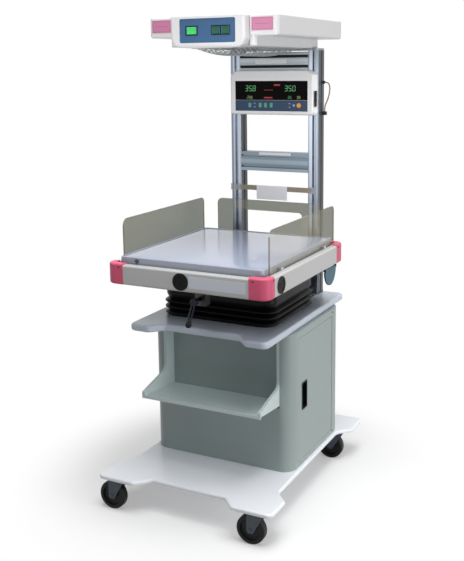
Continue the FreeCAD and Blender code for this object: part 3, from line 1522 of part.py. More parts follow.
def make_heater_elements():
    """Rod heaters along the reflector, each held by two end blocks that stand on the pan."""
    elements = []
    pitch = 2 * HEATER_HALF / (ELEMENT_COUNT + 1)
    for index in range(ELEMENT_COUNT):
        x = -HEATER_HALF + pitch * (index + 1)
        heater = rod(ELEMENT_RADIUS, V(x, HEATER_FRONT - 6, ELEMENT_Z), V(x, HEATER_REAR + 6, ELEMENT_Z))
        low = PAN_BOTTOM + PAN_WALL
        blocks = [
            box(x - 9, x + 9, HEATER_FRONT - 8, HEATER_FRONT, low, ELEMENT_Z + 8),
            box(x - 9, x + 9, HEATER_REAR, HEATER_REAR + 8, low, ELEMENT_Z + 8),
        ]
        elements.append(join([heater] + blocks))
    return Part.makeCompound(elements)


def grille_sag(x):
    """How far the dished guard hangs below the pan at x."""
    return GRILLE_DROP * (1 - (x / HEATER_HALF) ** 2)


def grille_bar(x):
    """Lengthwise flat bar that follows the dish at x and rises to the frame at both ends."""
    top = PAN_BOTTOM - GRILLE_FRAME
    low = top - grille_sag(x)
    bend = GRILLE_RUN_IN
    profile = [
        (HEATER_FRONT - 2, top, 0),
        (HEATER_FRONT + bend, low, bend / 2),
        (HEATER_REAR - bend, low, bend / 2),
        (HEATER_REAR + 2, top, 0),
        (HEATER_REAR + 2, PAN_BOTTOM, 0),
        (HEATER_REAR - bend, low + GRILLE_BAR, bend / 2),
        (HEATER_FRONT + bend, low + GRILLE_BAR, bend / 2),
        (HEATER_FRONT - 2, PAN_BOTTOM, 0),
    ]
    return prism(profile, side_view(x - GRILLE_BAR / 2), V(GRILLE_BAR, 0, 0))


def grille_hoop(y):
    """Crosswise flat bar, bent to an arc from one side of the frame to the other."""
    top = PAN_BOTTOM - GRILLE_FRAME
    low = top - GRILLE_DROP
    half = HEATER_HALF + 2
    thick = V(0, 0, GRILLE_BAR)
    left = V(-half, y, top)
    right = V(half, y, top)
    bottom = V(0, y, low)
    edges = [
        Part.Arc(left, bottom, right).toShape(),
        Part.LineSegment(right, right + thick).toShape(),
        Part.Arc(right + thick, bottom + thick, left + thick).toShape(),
        Part.LineSegment(left + thick, left).toShape(),
    ]
    return Part.Face(Part.Wire(edges)).extrude(V(0, GRILLE_BAR, 0))


def make_heater_grille():
    """Dished guard of flat bars and hoops below the heater, on a frame under the pan."""
    frame = heater_opening(PAN_BOTTOM - GRILLE_FRAME, PAN_BOTTOM, 10)
    frame = frame.cut(heater_opening(PAN_BOTTOM - GRILLE_FRAME - 1, PAN_BOTTOM + 1, -2))
    pitch = 2 * HEATER_HALF / (GRILLE_BARS_LONG + 1)
    bars = [grille_bar(-HEATER_HALF + pitch * (index + 1)) for index in range(GRILLE_BARS_LONG)]
    first = HEATER_FRONT + GRILLE_RUN_IN
    span = (HEATER_REAR - GRILLE_RUN_IN - first - GRILLE_BAR) / (GRILLE_BARS_CROSS - 1)
    hoops = [grille_hoop(first + span * index) for index in range(GRILLE_BARS_CROSS)]
    return join([frame] + bars + hoops)


def make_hood_bracket():
    """Mounting plate on the post tops that carries the hood."""
    half = POST_INNER + POST_WIDTH
    rear = POST_FRONT + POST_DEPTH
    plate = prism(
        rectangle(-half, half, POST_FRONT - 6, rear + 2, 6.0), plan(POST_TOP), V(0, 0, PAN_BOTTOM - POST_TOP)
    )
    return plate


# Sensor lead


def lead_points():
    return [V(x, LEAD_Y, z) for x, z in LEAD_POINTS]


def lead_path(points):
    """Straight runs joined by tangent arcs, each as large as its two runs allow."""
    edges = []
    previous = points[0]
    for before, corner, after in zip(points, points[1:], points[2:]):
        to_before = before - corner
        to_after = after - corner
        shorter = min(to_before.Length, to_after.Length)
        reach = 0.45 * shorter
        half = to_before.getAngle(to_after) / 2
        radius = reach * math.tan(half)
        to_before.normalize()
        to_after.normalize()
        start = corner + to_before * reach
        end = corner + to_after * reach
        bisector = (to_before + to_after).normalize()
        middle = corner + bisector * (radius / math.sin(half) - radius)
        print("lead arc radius", round(radius, 1))
        edges.append(Part.LineSegment(previous, start).toShape())
        edges.append(Part.Arc(start, middle, end).toShape())
        previous = end
    edges.append(Part.LineSegment(previous, points[-1]).toShape())
    return Part.Wire(edges)


def make_sensor_lead():
    points = lead_points()
    path = lead_path(points)
    ring = Part.Wire([Part.Circle(points[0], points[1] - points[0], LEAD_RADIUS).toShape()])
    tube = path.makePipeShell([ring], True, False)
    section = math.pi * LEAD_RADIUS ** 2
    print("lead volume", round(tube.Volume, 1), "section times length", round(section * path.Length, 1))
    return tube


def make_lead_glands():
    """Round gland where the lead leaves the post, and the block where it goes back in."""
    outside = POST_INNER + POST_WIDTH
    first = lead_points()[0]
    last = lead_points()[-1]
    gland = rod(GLAND_RADIUS, V(outside, LEAD_Y, first.z), V(first.x, LEAD_Y, first.z))
    half = GLAND_BLOCK / 2
    block = box(outside, outside + GLAND_BLOCK, LEAD_Y - half, LEAD_Y + half, last.z - GLAND_BLOCK, last.z)
    return Part.makeCompound([gland, block])


def main():
    save("base_plate", make_base_plate())
    for name, (x, y) in caster_places().items():
        save("caster_fork_" + name, make_fork(x, y))
        save("caster_wheel_" + name, make_wheel(x, y))
    save("cabinet_shell", make_cabinet_shell())
    save("door_pins", make_door_pins())
    save("side_door", make_side_door())
    save("door_pull", make_door_pull())
    save("instrument_tray", make_instrument_tray())
    save("tabletop", make_tabletop())
    save("tilt_pedestal", make_tilt_pedestal())
    save("tilt_shaft", make_tilt_shaft())
    save("bellows", make_bellows())
    save("bed_frame", make_bed_frame())
    save("corner_bumpers", make_bumpers())
    save("rail_socket_caps", make_socket_caps())
    save("rail_plate", make_rail_plate())
    save("bed_tray", make_bed_tray())
    save("mattress", make_mattress())
    save("crank_arm", make_crank_arm())
    save("crank_knob", make_crank_knob())
    save("side_panel_right", make_side_panel())
    save("side_panel_left", mirror_x(make_side_panel()))
    save("panel_hinges", make_panel_hinges())
    save("rear_panel", make_rear_panel())
    save("rear_panel_guides", make_rear_guides())
    save("release_lever", make_release_lever())
    save("post_right", make_post())
    save("post_left", mirror_x(make_post()))
    save("post_feet", make_post_feet())
    save("top_beam", make_beam(TOP_BEAM_BOTTOM, TOP_BEAM_HEIGHT))
    save("middle_beam", make_beam(MIDDLE_BEAM_BOTTOM, MIDDLE_BEAM_HEIGHT))
    save("beam_plates", make_blank_plates())
    save("accessory_bar", make_accessory_bar())
    save("accessory_clips", make_accessory_clips())
    save("hanging_plate", make_hanging_plate())
    save("control_box", make_control_box())
    save("display_window", make_display())
    save("keypad", make_keypad())
    save("keypad_keys", make_keys())
    save("standby_button", make_standby_button())
    save("hood_shell", make_hood_shell())
    save("hood_console", make_console())
    save("switch_panel", make_switch_panel())
    for name, x, width in rockers():
        save(name, make_rocker(x, width))
    save("wing_labels", make_wing_labels())
    save("heater_pan", make_heater_pan())
    save("reflector", make_reflector())
    save("heater_elements", make_heater_elements())
    save("heater_grille", make_heater_grille())
    save("hood_bracket", make_hood_bracket())
    save("sensor_lead", make_sensor_lead())
    save("lead_glands", make_lead_glands())


main()
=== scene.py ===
# %% [markdown]
# # An open infant incubator
# A bed for a newborn stands on a cabinet with casters, and a heater hood hangs over it on two posts.
# The solids come ready made from the CAD model. This lesson dresses them: it aims a camera, lights a
# white studio, gives every part its finish, and models the soft and fine pieces that CAD leaves plain.

# %% Load the frame
import math
from contextlib import contextmanager

import bpy
from mathutils import Euler, Matrix, Vector

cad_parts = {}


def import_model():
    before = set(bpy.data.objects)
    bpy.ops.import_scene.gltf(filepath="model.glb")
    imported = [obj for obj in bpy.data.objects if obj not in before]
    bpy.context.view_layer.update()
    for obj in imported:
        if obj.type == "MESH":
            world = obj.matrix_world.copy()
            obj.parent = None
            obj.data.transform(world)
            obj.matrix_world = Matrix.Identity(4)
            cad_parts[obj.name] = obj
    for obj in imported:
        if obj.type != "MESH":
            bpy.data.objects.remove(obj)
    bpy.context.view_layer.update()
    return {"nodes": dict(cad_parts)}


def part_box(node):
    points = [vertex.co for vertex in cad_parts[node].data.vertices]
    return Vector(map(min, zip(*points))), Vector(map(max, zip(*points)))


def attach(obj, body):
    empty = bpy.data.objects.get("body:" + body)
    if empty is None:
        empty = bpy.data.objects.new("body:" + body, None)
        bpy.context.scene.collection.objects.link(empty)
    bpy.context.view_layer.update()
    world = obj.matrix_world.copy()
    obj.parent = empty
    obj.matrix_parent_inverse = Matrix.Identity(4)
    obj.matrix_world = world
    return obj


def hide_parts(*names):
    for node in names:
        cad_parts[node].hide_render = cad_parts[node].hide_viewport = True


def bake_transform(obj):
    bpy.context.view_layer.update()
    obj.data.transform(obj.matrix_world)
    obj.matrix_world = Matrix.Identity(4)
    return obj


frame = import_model()
nodes = frame["nodes"]

# %% [markdown]
# ## The camera
# The camera stands where the photographer stood: in front and to the right of the bed, a little above
# it, looking slightly down. Its place and lens were worked out from the straight edges in the
# photograph, so the render can be laid over it. The long side of the picture is its height.

# %% Aim the camera
PICTURE_WIDTH = 464
PICTURE_HEIGHT = 561
SENSOR = 36.0
FOCAL_PIXELS = 868.45
CENTRE_PIXEL = (248.77, 221.50)
CAMERA_PLACE = Vector((1.4789, -2.8434, 1.5792))
CAMERA_YAW = math.radians(26.650)
CAMERA_PITCH = math.radians(9.978)
CAMERA_ROLL = math.radians(-0.544)


def camera_axes(yaw, pitch, roll):
    """Right, up and backward directions of a camera that is turned left by yaw and down by pitch."""
    forward = Vector((
        -math.sin(yaw) * math.cos(pitch),
        math.cos(yaw) * math.cos(pitch),
        -math.sin(pitch),
    ))
    level_right = Vector((math.cos(yaw), math.sin(yaw), 0.0))
    level_up = level_right.cross(forward)
    right = level_right * math.cos(roll) + level_up * math.sin(roll)
    up = level_up * math.cos(roll) - level_right * math.sin(roll)
    return right, up, -forward


lens = bpy.data.cameras.new("photo_camera")
lens.sensor_width = SENSOR
lens.lens = FOCAL_PIXELS * SENSOR / PICTURE_HEIGHT
lens.shift_x = (PICTURE_WIDTH / 2 - CENTRE_PIXEL[0]) / PICTURE_HEIGHT
lens.shift_y = (CENTRE_PIXEL[1] - PICTURE_HEIGHT / 2) / PICTURE_HEIGHT
camera = bpy.data.objects.new("photo_camera", lens)
axes = camera_axes(CAMERA_YAW, CAMERA_PITCH, CAMERA_ROLL)
camera.matrix_world = Matrix(axes).transposed().to_4x4()
camera.location = CAMERA_PLACE
bpy.context.scene.collection.objects.link(camera)
bpy.context.scene.camera = camera
print("lens", round(lens.lens, 2), "mm, shift", round(lens.shift_x, 4), round(lens.shift_y, 4))

# %% [markdown]
# ## Small tools for modelling
# Every operator works on what is selected, so each step starts with nothing selected. A finished
# piece has its place in its mesh and its object at the origin, like the CAD parts, so that patterns
# on object coordinates stay put. These helpers do that in the same way each time.


# %% Modelling helpers
def select_only(piece):
    """Make this piece the only selected and the active one."""
    bpy.ops.object.select_all(action="DESELECT")
    piece.select_set(True)
    bpy.context.view_layer.objects.active = piece


def settle(piece):
    """Move the object's place, turn and scale into its mesh."""
    select_only(piece)
    bpy.ops.object.transform_apply(location=True, rotation=True, scale=True)


@contextmanager
def editing(chosen=False):
    """Go into edit mode with everything selected, or with the chosen faces, and come back."""
    bpy.ops.object.mode_set(mode="EDIT")
    if chosen:
        bpy.ops.mesh.select_mode(type="FACE")
    else:
        bpy.ops.mesh.select_all(action="SELECT")
    yield
    bpy.ops.object.mode_set(mode="OBJECT")


def face_outwards(piece):
    """Merge doubled points and turn all faces outwards."""
    select_only(piece)
    with editing():
        bpy.ops.mesh.remove_doubles(threshold=0.00001)
        bpy.ops.mesh.normals_make_consistent(inside=False)


def select_faces(piece, wanted):
    """Select the faces whose centre and normal pass the test, in object mode."""
    for vertex in piece.data.vertices:
        vertex.select = False
    for edge in piece.data.edges:
        edge.select = False
    for face in piece.data.polygons:
        face.select = bool(wanted(face.center, face.normal))


def finish(piece, material, body, angle=35.0):
    """Settle a new piece, smooth its gentle edges, paint it and let it ride on its body."""
    settle(piece)
    face_outwards(piece)
    bpy.ops.object.shade_smooth_by_angle(angle=math.radians(angle))
    piece.data.materials.clear()
    piece.data.materials.append(material)
    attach(piece, body)
    return piece


def new_block(name, low, high, bevel=0.0, segments=3):
    """Block between two corners with rounded edges."""
    middle = [(a + b) / 2 for a, b in zip(low, high)]
    size = [b - a for a, b in zip(low, high)]
    bpy.ops.object.select_all(action="DESELECT")
    bpy.ops.mesh.primitive_cube_add(size=1.0, location=middle, scale=size)
    piece = bpy.context.object
    piece.name = name
    settle(piece)
    if bevel > 0:
        with editing():
            bpy.ops.mesh.bevel(offset=bevel, segments=segments, affect="EDGES")
    return piece


def rounded_outline(name, size, middle, corner, segments):
    """Closed line round a level rectangle with rounded corners."""
    bpy.ops.object.select_all(action="DESELECT")
    bpy.ops.mesh.primitive_plane_add(size=1.0, location=middle)
    outline = bpy.context.object
    outline.name = name
    outline.scale = (*size, 1.0)
    settle(outline)
    with editing():
        bpy.ops.mesh.bevel(offset=corner, segments=segments, affect="VERTICES")
        bpy.ops.mesh.select_all(action="SELECT")
        bpy.ops.mesh.delete(type="ONLY_FACE")
    return outline


def join(pieces):
    """Join pieces into the first of them."""
    bpy.ops.object.select_all(action="DESELECT")
    for piece in pieces:
        piece.select_set(True)
    bpy.context.view_layer.objects.active = pieces[0]
    bpy.ops.object.join()
    return pieces[0]


def copy_to(template, name, place, turn=(0.0, 0.0, 0.0), body="chassis"):
    """Copy a piece that was modelled at the origin to its place, with a mesh of its own."""
    piece = bpy.data.objects.new(name, template.data.copy())
    piece.data.transform(Matrix.Translation(place) @ Euler(turn).to_matrix().to_4x4())
    bpy.context.scene.collection.objects.link(piece)
    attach(piece, body)
    return piece


print("helpers ready")

# %% [markdown]
# ## The sensor lead
# A thin beige lead leaves the right post through a gland, makes one loose loop beside the control
# box and goes back into a block on the post. It is a smooth curve through the same route that the
# CAD tube takes, so its length is the real one.

# %% Route of the sensor lead
LEAD_DIAMETER = 0.005
LEAD_Y = 0.3835
LEAD_ROUTE = (
    (0.2000, 1.5240),
    (0.2140, 1.5240),
    (0.2220, 1.5070),
    (0.2195, 1.4800),
    (0.2110, 1.4520),
    (0.2000, 1.4320),
    (0.2000, 1.4100),
)


def make_lead():
    """Curve of one open spline with a round section."""
    curve = bpy.data.curves.new("sensor_lead_curve", "CURVE")
    curve.dimensions = "3D"
    curve.bevel_depth = LEAD_DIAMETER / 2
    curve.bevel_resolution = 6
    curve.resolution_u = 16
    spline = curve.splines.new("NURBS")
    spline.points.add(len(LEAD_ROUTE) - 1)
    for point, (x, z) in zip(spline.points, LEAD_ROUTE):
        point.co = (x, LEAD_Y, z, 1.0)
    spline.order_u = 3
    spline.use_endpoint_u = True
    lead = bpy.data.objects.new("sensor_lead_skin", curve)
    bpy.context.scene.collection.objects.link(lead)
    return lead


def curve_length(piece):
    """Length of a curve's own line, measured along the points that Blender makes of it."""
    bare = piece.data.copy()
    bare.bevel_depth = 0.0
    carrier = bpy.data.objects.new("measure", bare)
    mesh = bpy.data.meshes.new_from_object(carrier)
    points = [vertex.co for vertex in mesh.vertices]
    total = sum((b - a).length for a, b in zip(points, points[1:]))
    bpy.data.objects.remove(carrier)
    bpy.data.meshes.remove(mesh)
    bpy.data.curves.remove(bare)
    return total


lead = make_lead()
lead_length = curve_length(lead)
print("lead length", round(lead_length, 4), "m")

# %% [markdown]
# ## Wiring of shader nodes
# Every node is made in the same way: its settings first, then its inputs, in order or by name. An
# input takes a plain value, or the output of another node, which is then linked to it.


# %% Node helpers
def put(tree, socket, value):
    """Set an input to a value, or link another node's output to it."""
    if isinstance(value, bpy.types.NodeSocket):
        tree.links.new(value, socket)
    else:
        socket.default_value = value


def fill(tree, node, **named):
    """Fill inputs of a node by name, with an underscore for each space."""
    for name, value in named.items():
        put(tree, node.inputs[name.replace("_", " ")], value)


def add_node(tree, kind, *values, settings=None, **named):
    """Node with its settings made and its inputs filled, in order or by name."""
    node = tree.nodes.new("ShaderNode" + kind)
    for name, value in (settings or {}).items():
        setattr(node, name, value)
    for socket, value in zip(node.inputs, values):
        put(tree, socket, value)
    fill(tree, node, **named)
    return node


def calculate(tree, operation, *values):
    """Result of one operation on numbers or outputs."""
    return add_node(tree, "Math", *values, settings={"operation": operation}).outputs["Value"]


def mix_colours(tree, factor, first, second):
    """Colour that goes from the first to the second as the factor goes from zero to one."""
    mix = add_node(tree, "Mix", settings={"data_type": "RGBA"}, Factor=factor, A=first, B=second)
    return mix.outputs["Result"]


print("node helpers ready")

# %% [markdown]
# ## The white studio
# The photograph has a plain white ground with a soft grey shadow close to the wheels. The floor takes
# the light and the shadow of the lamps, and the camera sees a little white added to it, which lifts
# the open ground to white and leaves the shadow. Further out it is plain white, as the world is, so no
# horizon shows. The backdrop of the photograph was grey before it was cut out, and that grey is still
# there behind the clear panels: a view that has passed through a clear sheet meets a grey backdrop.

# %% Floor and world
FLOOR_SIZE = 6.4
FLOOR_FADE_START = 0.50
FLOOR_FADE_END = 0.92
FLOOR_GREY = (0.72, 0.72, 0.72, 1.0)
FLOOR_LIFT = 0.27
WORLD_LIGHT = 0.19
BACKDROP_GREY = (0.200, 0.222, 0.222, 1.0)
WHITE = (1.0, 1.0, 1.0, 1.0)


def seen_directly(tree):
    """One where the camera, a reflection or a view through glass meets the surface, zero for light."""
    path = add_node(tree, "LightPath")
    seen = calculate(tree, "MAXIMUM", path.outputs["Is Camera Ray"], path.outputs["Is Glossy Ray"])
    return calculate(tree, "MAXIMUM", seen, path.outputs["Is Transmission Ray"]), path


def backdrop_colour(tree, path):
    """White, or the grey backdrop where the view has passed through a clear sheet."""
    through = calculate(tree, "GREATER_THAN", path.outputs["Transparent Depth"], 0.5)
    straight = calculate(tree, "MULTIPLY", through, path.outputs["Is Camera Ray"])
    return mix_colours(tree, straight, WHITE, BACKDROP_GREY)


def backdrop(tree, kind, seen, path):
    """Plain backdrop that is bright to see and dim to light with."""
    strength = add_node(tree, "MapRange", Value=seen, To_Min=WORLD_LIGHT)
    colour = backdrop_colour(tree, path)
    return add_node(tree, kind, Color=colour, Strength=strength.outputs["Result"]).outputs[0]


def make_floor():
    """Floor that keeps the shadow near the object and is plain white further out."""
    bpy.ops.object.select_all(action="DESELECT")
    bpy.ops.mesh.primitive_plane_add(size=FLOOR_SIZE, location=(0, 0, 0))
    floor = bpy.context.object
    floor.name = "studio_floor"
    material = bpy.data.materials.new("studio_floor")
    material.use_nodes = True
    tree = material.node_tree
    tree.nodes.clear()
    seen, path = seen_directly(tree)
    place = add_node(tree, "TexCoord").outputs["Object"]
    distance = add_node(tree, "VectorMath", place, settings={"operation": "LENGTH"})
    fade = add_node(
        tree,
        "MapRange",
        settings={"interpolation_type": "SMOOTHSTEP"},
        Value=distance.outputs["Value"],
        From_Min=FLOOR_FADE_START,
        From_Max=FLOOR_FADE_END,
    )
    lit = add_node(tree, "BsdfDiffuse", Color=FLOOR_GREY)
    lift = add_node(tree, "Emission", Strength=calculate(tree, "MULTIPLY", seen, FLOOR_LIFT))
    near = add_node(tree, "AddShader", lit.outputs["BSDF"], lift.outputs["Emission"])
    far = backdrop(tree, "Emission", seen, path)
    mix = add_node(tree, "MixShader", fade.outputs["Result"], near.outputs["Shader"], far)
    add_node(tree, "OutputMaterial", Surface=mix.outputs["Shader"])
    floor.data.materials.append(material)


def make_world():
    """World that is white to see and gentle to light with."""
    world = bpy.data.worlds.new("studio_world")
    world.use_nodes = True
    tree = world.node_tree
    tree.nodes.clear()
    seen, path = seen_directly(tree)
    add_node(tree, "OutputWorld", Surface=backdrop(tree, "Background", seen, path))
    bpy.context.scene.world = world


make_floor()
make_world()
bpy.context.scene.view_settings.view_transform = "Standard"
print("floor", FLOOR_SIZE, "m across")

# %% [markdown]
# ## The lamps
# In the photograph the tops and the right sides are bright, the fronts of the bed and the cabinet are in
# half shade, and the bed throws a shadow on the tabletop. So the main lamp hangs high on the right. The
# front of the hood is bright again: a small lamp close in front of it reaches little else, and a
# weaker one does the same for the control box.

# %% Lamps
LAMPS = (
    ("lamp_high_right", (0.50, -0.30, 4.2), (0.0, 0.0, 0.8), 2.4, 136.0),
    ("lamp_right", (3.2, -0.35, 0.9), (0.0, 0.0, 0.6), 1.6, 46.0),
    ("lamp_hood_front", (0.1, -1.10, 1.74), (0.0, 0.0, 1.62), 0.5, 5.2),
    ("lamp_box_front", (0.10, -0.45, 1.36), (0.0, 0.33, 1.45), 0.3, 0.80),
)


def area_lamp(name, place, target, size, power):
    """Square soft lamp that looks at a target and stays out of the camera's sight."""
    data = bpy.data.lights.new(name, "AREA")
    data.size = size
    data.energy = power
    lamp = bpy.data.objects.new(name, data)
    lamp.location = place
    direction = Vector(target) - Vector(place)
    lamp.rotation_euler = direction.to_track_quat("-Z", "Y").to_euler()
    lamp.visible_camera = False
    bpy.context.scene.collection.objects.link(lamp)


for lamp in LAMPS:
    area_lamp(*lamp)
print("lamps:", len(LAMPS))

# %% [markdown]
# ## How the finishes are made
# Every finish starts from the Principled shader. A broad noise shifts the colour a little, as dust,
# handling and light do on real paint, and a fine noise drives the bump and the roughness. What is the
# same all over the surface is set on the shader itself.

# %% Material helpers
NOISE_LOW = 0.3
NOISE_HIGH = 0.7
EVEN = (1.0, 1.0, 1.0)


def start_material(name, colour, roughness, metallic=0.0):
    """Material with a Principled shader and object coordinates."""
    material = bpy.data.materials.new(name)
    material.use_nodes = True
    tree = material.node_tree
    shader = tree.nodes["Principled BSDF"]
    fill(tree, shader, Base_Color=(*colour, 1.0), Roughness=roughness, Metallic=metallic)
    return material, tree, shader, add_node(tree, "TexCoord").outputs["Object"]


def add_noise(tree, coordinates, scale, detail=3.0, stretch=EVEN):
    """Noise on object coordinates, which may be stretched along an axis."""
    mapping = add_node(tree, "Mapping", Vector=coordinates, Scale=stretch)
    noise = add_node(tree, "TexNoise", Vector=mapping.outputs["Vector"], Scale=scale, Detail=detail)
    return noise.outputs["Fac"]


def ramp_colour(tree, shader, noise, dark, light, places=(NOISE_LOW, NOISE_HIGH)):
    """Let a noise move the colour from a dark shade to a light one between two places."""
    ramp = add_node(tree, "ValToRGB", Fac=noise)
    for element, place, shade in zip(ramp.color_ramp.elements, places, (dark, light)):
        element.position = place
        element.color = (*shade, 1.0)
    fill(tree, shader, Base_Color=ramp.outputs["Color"])


def vary_colour(tree, shader, noise, colour, spread):
    """Let a noise make the colour a little darker and lighter."""
    dark = [c * (1.0 - spread) for c in colour]
    light = [min(1.0, c * (1.0 + spread)) for c in colour]
    ramp_colour(tree, shader, noise, dark, light)


def vary_roughness(tree, shader, noise, low, high):
    """Let a noise move the roughness between two values."""
    spread = add_node(tree, "MapRange", noise, NOISE_LOW, NOISE_HIGH, low, high)
    fill(tree, shader, Roughness=spread.outputs["Result"])


def add_bump(tree, shader, height, strength, distance):
    """Let a noise or a pattern raise and lower the surface a little."""
    bump = add_node(tree, "Bump", Strength=strength, Distance=distance, Height=height)
    fill(tree, shader, Normal=bump.outputs["Normal"])


def coated(name, colour, roughness, spread, grain_scale, grain_strength, coat=0.0, shine=0.5):
    """Paint or moulded plastic: broad colour drift, fine grain, and a clear coat if it has one."""
    material, tree, shader, coordinates = start_material(name, colour, roughness)
    fill(tree, shader, Specular_IOR_Level=shine, Coat_Weight=coat, Coat_Roughness=0.12)
    vary_colour(tree, shader, add_noise(tree, coordinates, 2.3, 2.0), colour, spread)
    fine = add_noise(tree, coordinates, grain_scale, 4.0)
    vary_roughness(tree, shader, fine, roughness * 0.88, roughness * 1.12)
    add_bump(tree, shader, fine, grain_strength, 0.0004)
    return material


def beyond(tree, coordinates, axis, start):
    """One where an object coordinate is past a value, zero before it."""
    split = add_node(tree, "SeparateXYZ", Vector=coordinates)
    return calculate(tree, "GREATER_THAN", split.outputs[axis], start)


def before(tree, coordinates, axis, end):
    """One where an object coordinate is before a value, zero past it."""
    return calculate(tree, "SUBTRACT", 1.0, beyond(tree, coordinates, axis, end))


def second_colour(tree, shader, mask, colour):
    """Lay another colour over the first one where the mask is one."""
    first = shader.inputs["Base Color"].links[0].from_socket
    fill(tree, shader, Base_Color=mix_colours(tree, mask, first, (*colour, 1.0)))


def inside(material):
    """Tree, shader and object coordinates of a material that is made already."""
    tree = material.node_tree
    coordinates = tree.nodes["Texture Coordinate"].outputs["Object"]
    return tree, tree.nodes["Principled BSDF"], coordinates


print("material helpers ready")

# %% [markdown]
# ## Finishes of the cabinet, base and bed
# The base and tabletop are one pale lavender-grey plastic with a satin shine, painted at two levels, the
# tabletop darker than the base, as painted light and shade. The cabinet is a greener grey, sprayed with
# a very fine texture, and the instrument tray has that grey painted about twice as light, as painted
# light on the tray. The hood, the control box, the bed rails and the bed tray are near white, painted at
# several levels as painted light and shade: lightest on the control box, darker on the hood, darker
# still on the rails and the blue-grey bed tray. The corner bumpers are rose pink with a soft moulded
# grain. Two parts have a second colour, which starts at a plane: the bed frame is painted black below
# the rails, as painted shade under the bed, and the arrow keys are pale blue.

# %% Paint and plastic finishes
# Base and tabletop: one plastic painted at two levels, the tabletop darker, as painted light and shade.
base_plastic = coated("base_lavender_plastic", (0.92, 0.94, 1.0), 0.34, 0.02, 260.0, 0.04, coat=0.15)
tabletop_plastic = coated("tabletop_lavender_plastic", (0.58, 0.64, 0.74), 0.34, 0.02, 260.0, 0.04, 0.15)
cabinet_paint = coated("grey_green_paint", (0.32, 0.385, 0.375), 0.40, 0.03, 420.0, 0.08)
# Instrument tray: the cabinet's grey-green painted about twice as light, as painted light on the tray.
tray_paint = coated("tray_grey_paint", (0.64, 0.74, 0.73), 0.38, 0.03, 420.0, 0.08)
# Near-white plastic painted at several levels, as painted light and shade: lightest on the control box,
# darker on the hood, darker still on the rails and the bed tray.
white_plastic = coated("near_white_plastic", (0.66, 0.66, 0.67), 0.33, 0.015, 300.0, 0.04, coat=0.2)
box_white = coated("control_box_white", (0.92, 0.915, 0.92), 0.36, 0.015, 300.0, 0.04, coat=0.1)
rail_plastic = coated("rail_white_plastic", (0.50, 0.505, 0.50), 0.34, 0.02, 300.0, 0.05, coat=0.15)
tray_white = coated("bed_tray_white", (0.34, 0.37, 0.44), 0.22, 0.015, 280.0, 0.03, coat=0.3)
pink_bumper = coated("rose_bumper", (0.68, 0.105, 0.195), 0.42, 0.04, 520.0, 0.10, shine=0.3)
pink_label = coated("pink_label_film", (0.52, 0.175, 0.31), 0.34, 0.03, 700.0, 0.04, coat=0.2)
label_line = coated("label_line_grey", (0.20, 0.10, 0.14), 0.5, 0.1, 700.0, 0.04)
black_plastic = coated("black_moulded", (0.006, 0.006, 0.007), 0.42, 0.15, 480.0, 0.10, shine=0.12)
frame_black = coated("black_frame", (0.010, 0.010, 0.011), 0.45, 0.15, 480.0, 0.10, shine=0.12)
teal_plastic = coated("teal_lever", (0.020, 0.100, 0.150), 0.30, 0.05, 300.0, 0.04, shine=0.25)
blue_panel = coated("blue_switch_panel", (0.040, 0.105, 0.215), 0.42, 0.05, 900.0, 0.08, shine=0.3)
keypad_blue = coated("blue_keypad_film", (0.030, 0.060, 0.115), 0.42, 0.05, 900.0, 0.08, shine=0.3)
bright_plate = coated("white_blank_plate", (0.86, 0.86, 0.88), 0.36, 0.015, 600.0, 0.04)
rail_film = coated("rail_blank_film", (0.60, 0.63, 0.70), 0.30, 0.02, 600.0, 0.04, coat=0.3)
fork_paint = coated("caster_fork_paint", (0.045, 0.062, 0.080), 0.36, 0.10, 350.0, 0.10, shine=0.4)
gland_black = coated("gland_black", (0.02, 0.02, 0.02), 0.5, 0.1, 600.0, 0.1, shine=0.2)
key_green = coated("key_green", (0.11, 0.36, 0.24), 0.42, 0.04, 900.0, 0.05)
orange_button = coated("orange_button", (0.85, 0.36, 0.04), 0.35, 0.04, 500.0, 0.05, coat=0.3)
guide_grey = coated("guide_grey", (0.42, 0.43, 0.43), 0.30, 0.03, 300.0, 0.04, coat=0.2)
grille_grey = coated("grille_grey_enamel", (0.35, 0.375, 0.38), 0.40, 0.04, 500.0, 0.06)
knob_blue = coated("knob_slate_blue", (0.035, 0.055, 0.085), 0.30, 0.06, 500.0, 0.05)
print("paint and plastic finishes: 25")

UNDER_RAIL_SHADE_BLACK = (0.004, 0.004, 0.005)
ARROW_BLUE = (0.30, 0.38, 0.66)
RIGHT_ARROWS_FROM = 0.066
LEFT_ARROWS_FROM = -0.078
LEFT_ARROWS_TO = -0.064

# Painted shade: below the rails the bed frame is painted black, as the shadow under the bed.
tree, shader, coordinates = inside(rail_plastic)
shaded_below_rails = before(tree, coordinates, "Z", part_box("corner_bumpers")[0][2] - 0.0005)
second_colour(tree, shader, shaded_below_rails, UNDER_RAIL_SHADE_BLACK)

tree, shader, coordinates = inside(key_green)
second_colour(tree, shader, beyond(tree, coordinates, "X", RIGHT_ARROWS_FROM), ARROW_BLUE)
from_arrows = beyond(tree, coordinates, "X", LEFT_ARROWS_FROM)
past_arrows = beyond(tree, coordinates, "X", LEFT_ARROWS_TO)
second_colour(tree, shader, calculate(tree, "SUBTRACT", from_arrows, past_arrows), ARROW_BLUE)
print("second colours: 2")

# %% [markdown]
# ## Metals
# The posts and beams are drawn aluminium. Drawing leaves fine streaks along the profile, so a fine noise
# is squeezed across the post and stretched along it, and drives the roughness and the bump. A broader
# noise stretched the same way paints light and dark bands along the posts and beams, as painted
# reflection of the studio in the ribs. The flanks that face right get a darker, less metallic colour
# past the plane of that flank, as painted reflection of a dark corner of the studio. The crank is chrome
# painted dark, as painted reflection of the dark studio, and the heater parts are a duller steel.

# %% Metal finishes
UPRIGHT = (1.0, 1.0, 0.004)
LEVEL = (0.004, 1.0, 1.0)
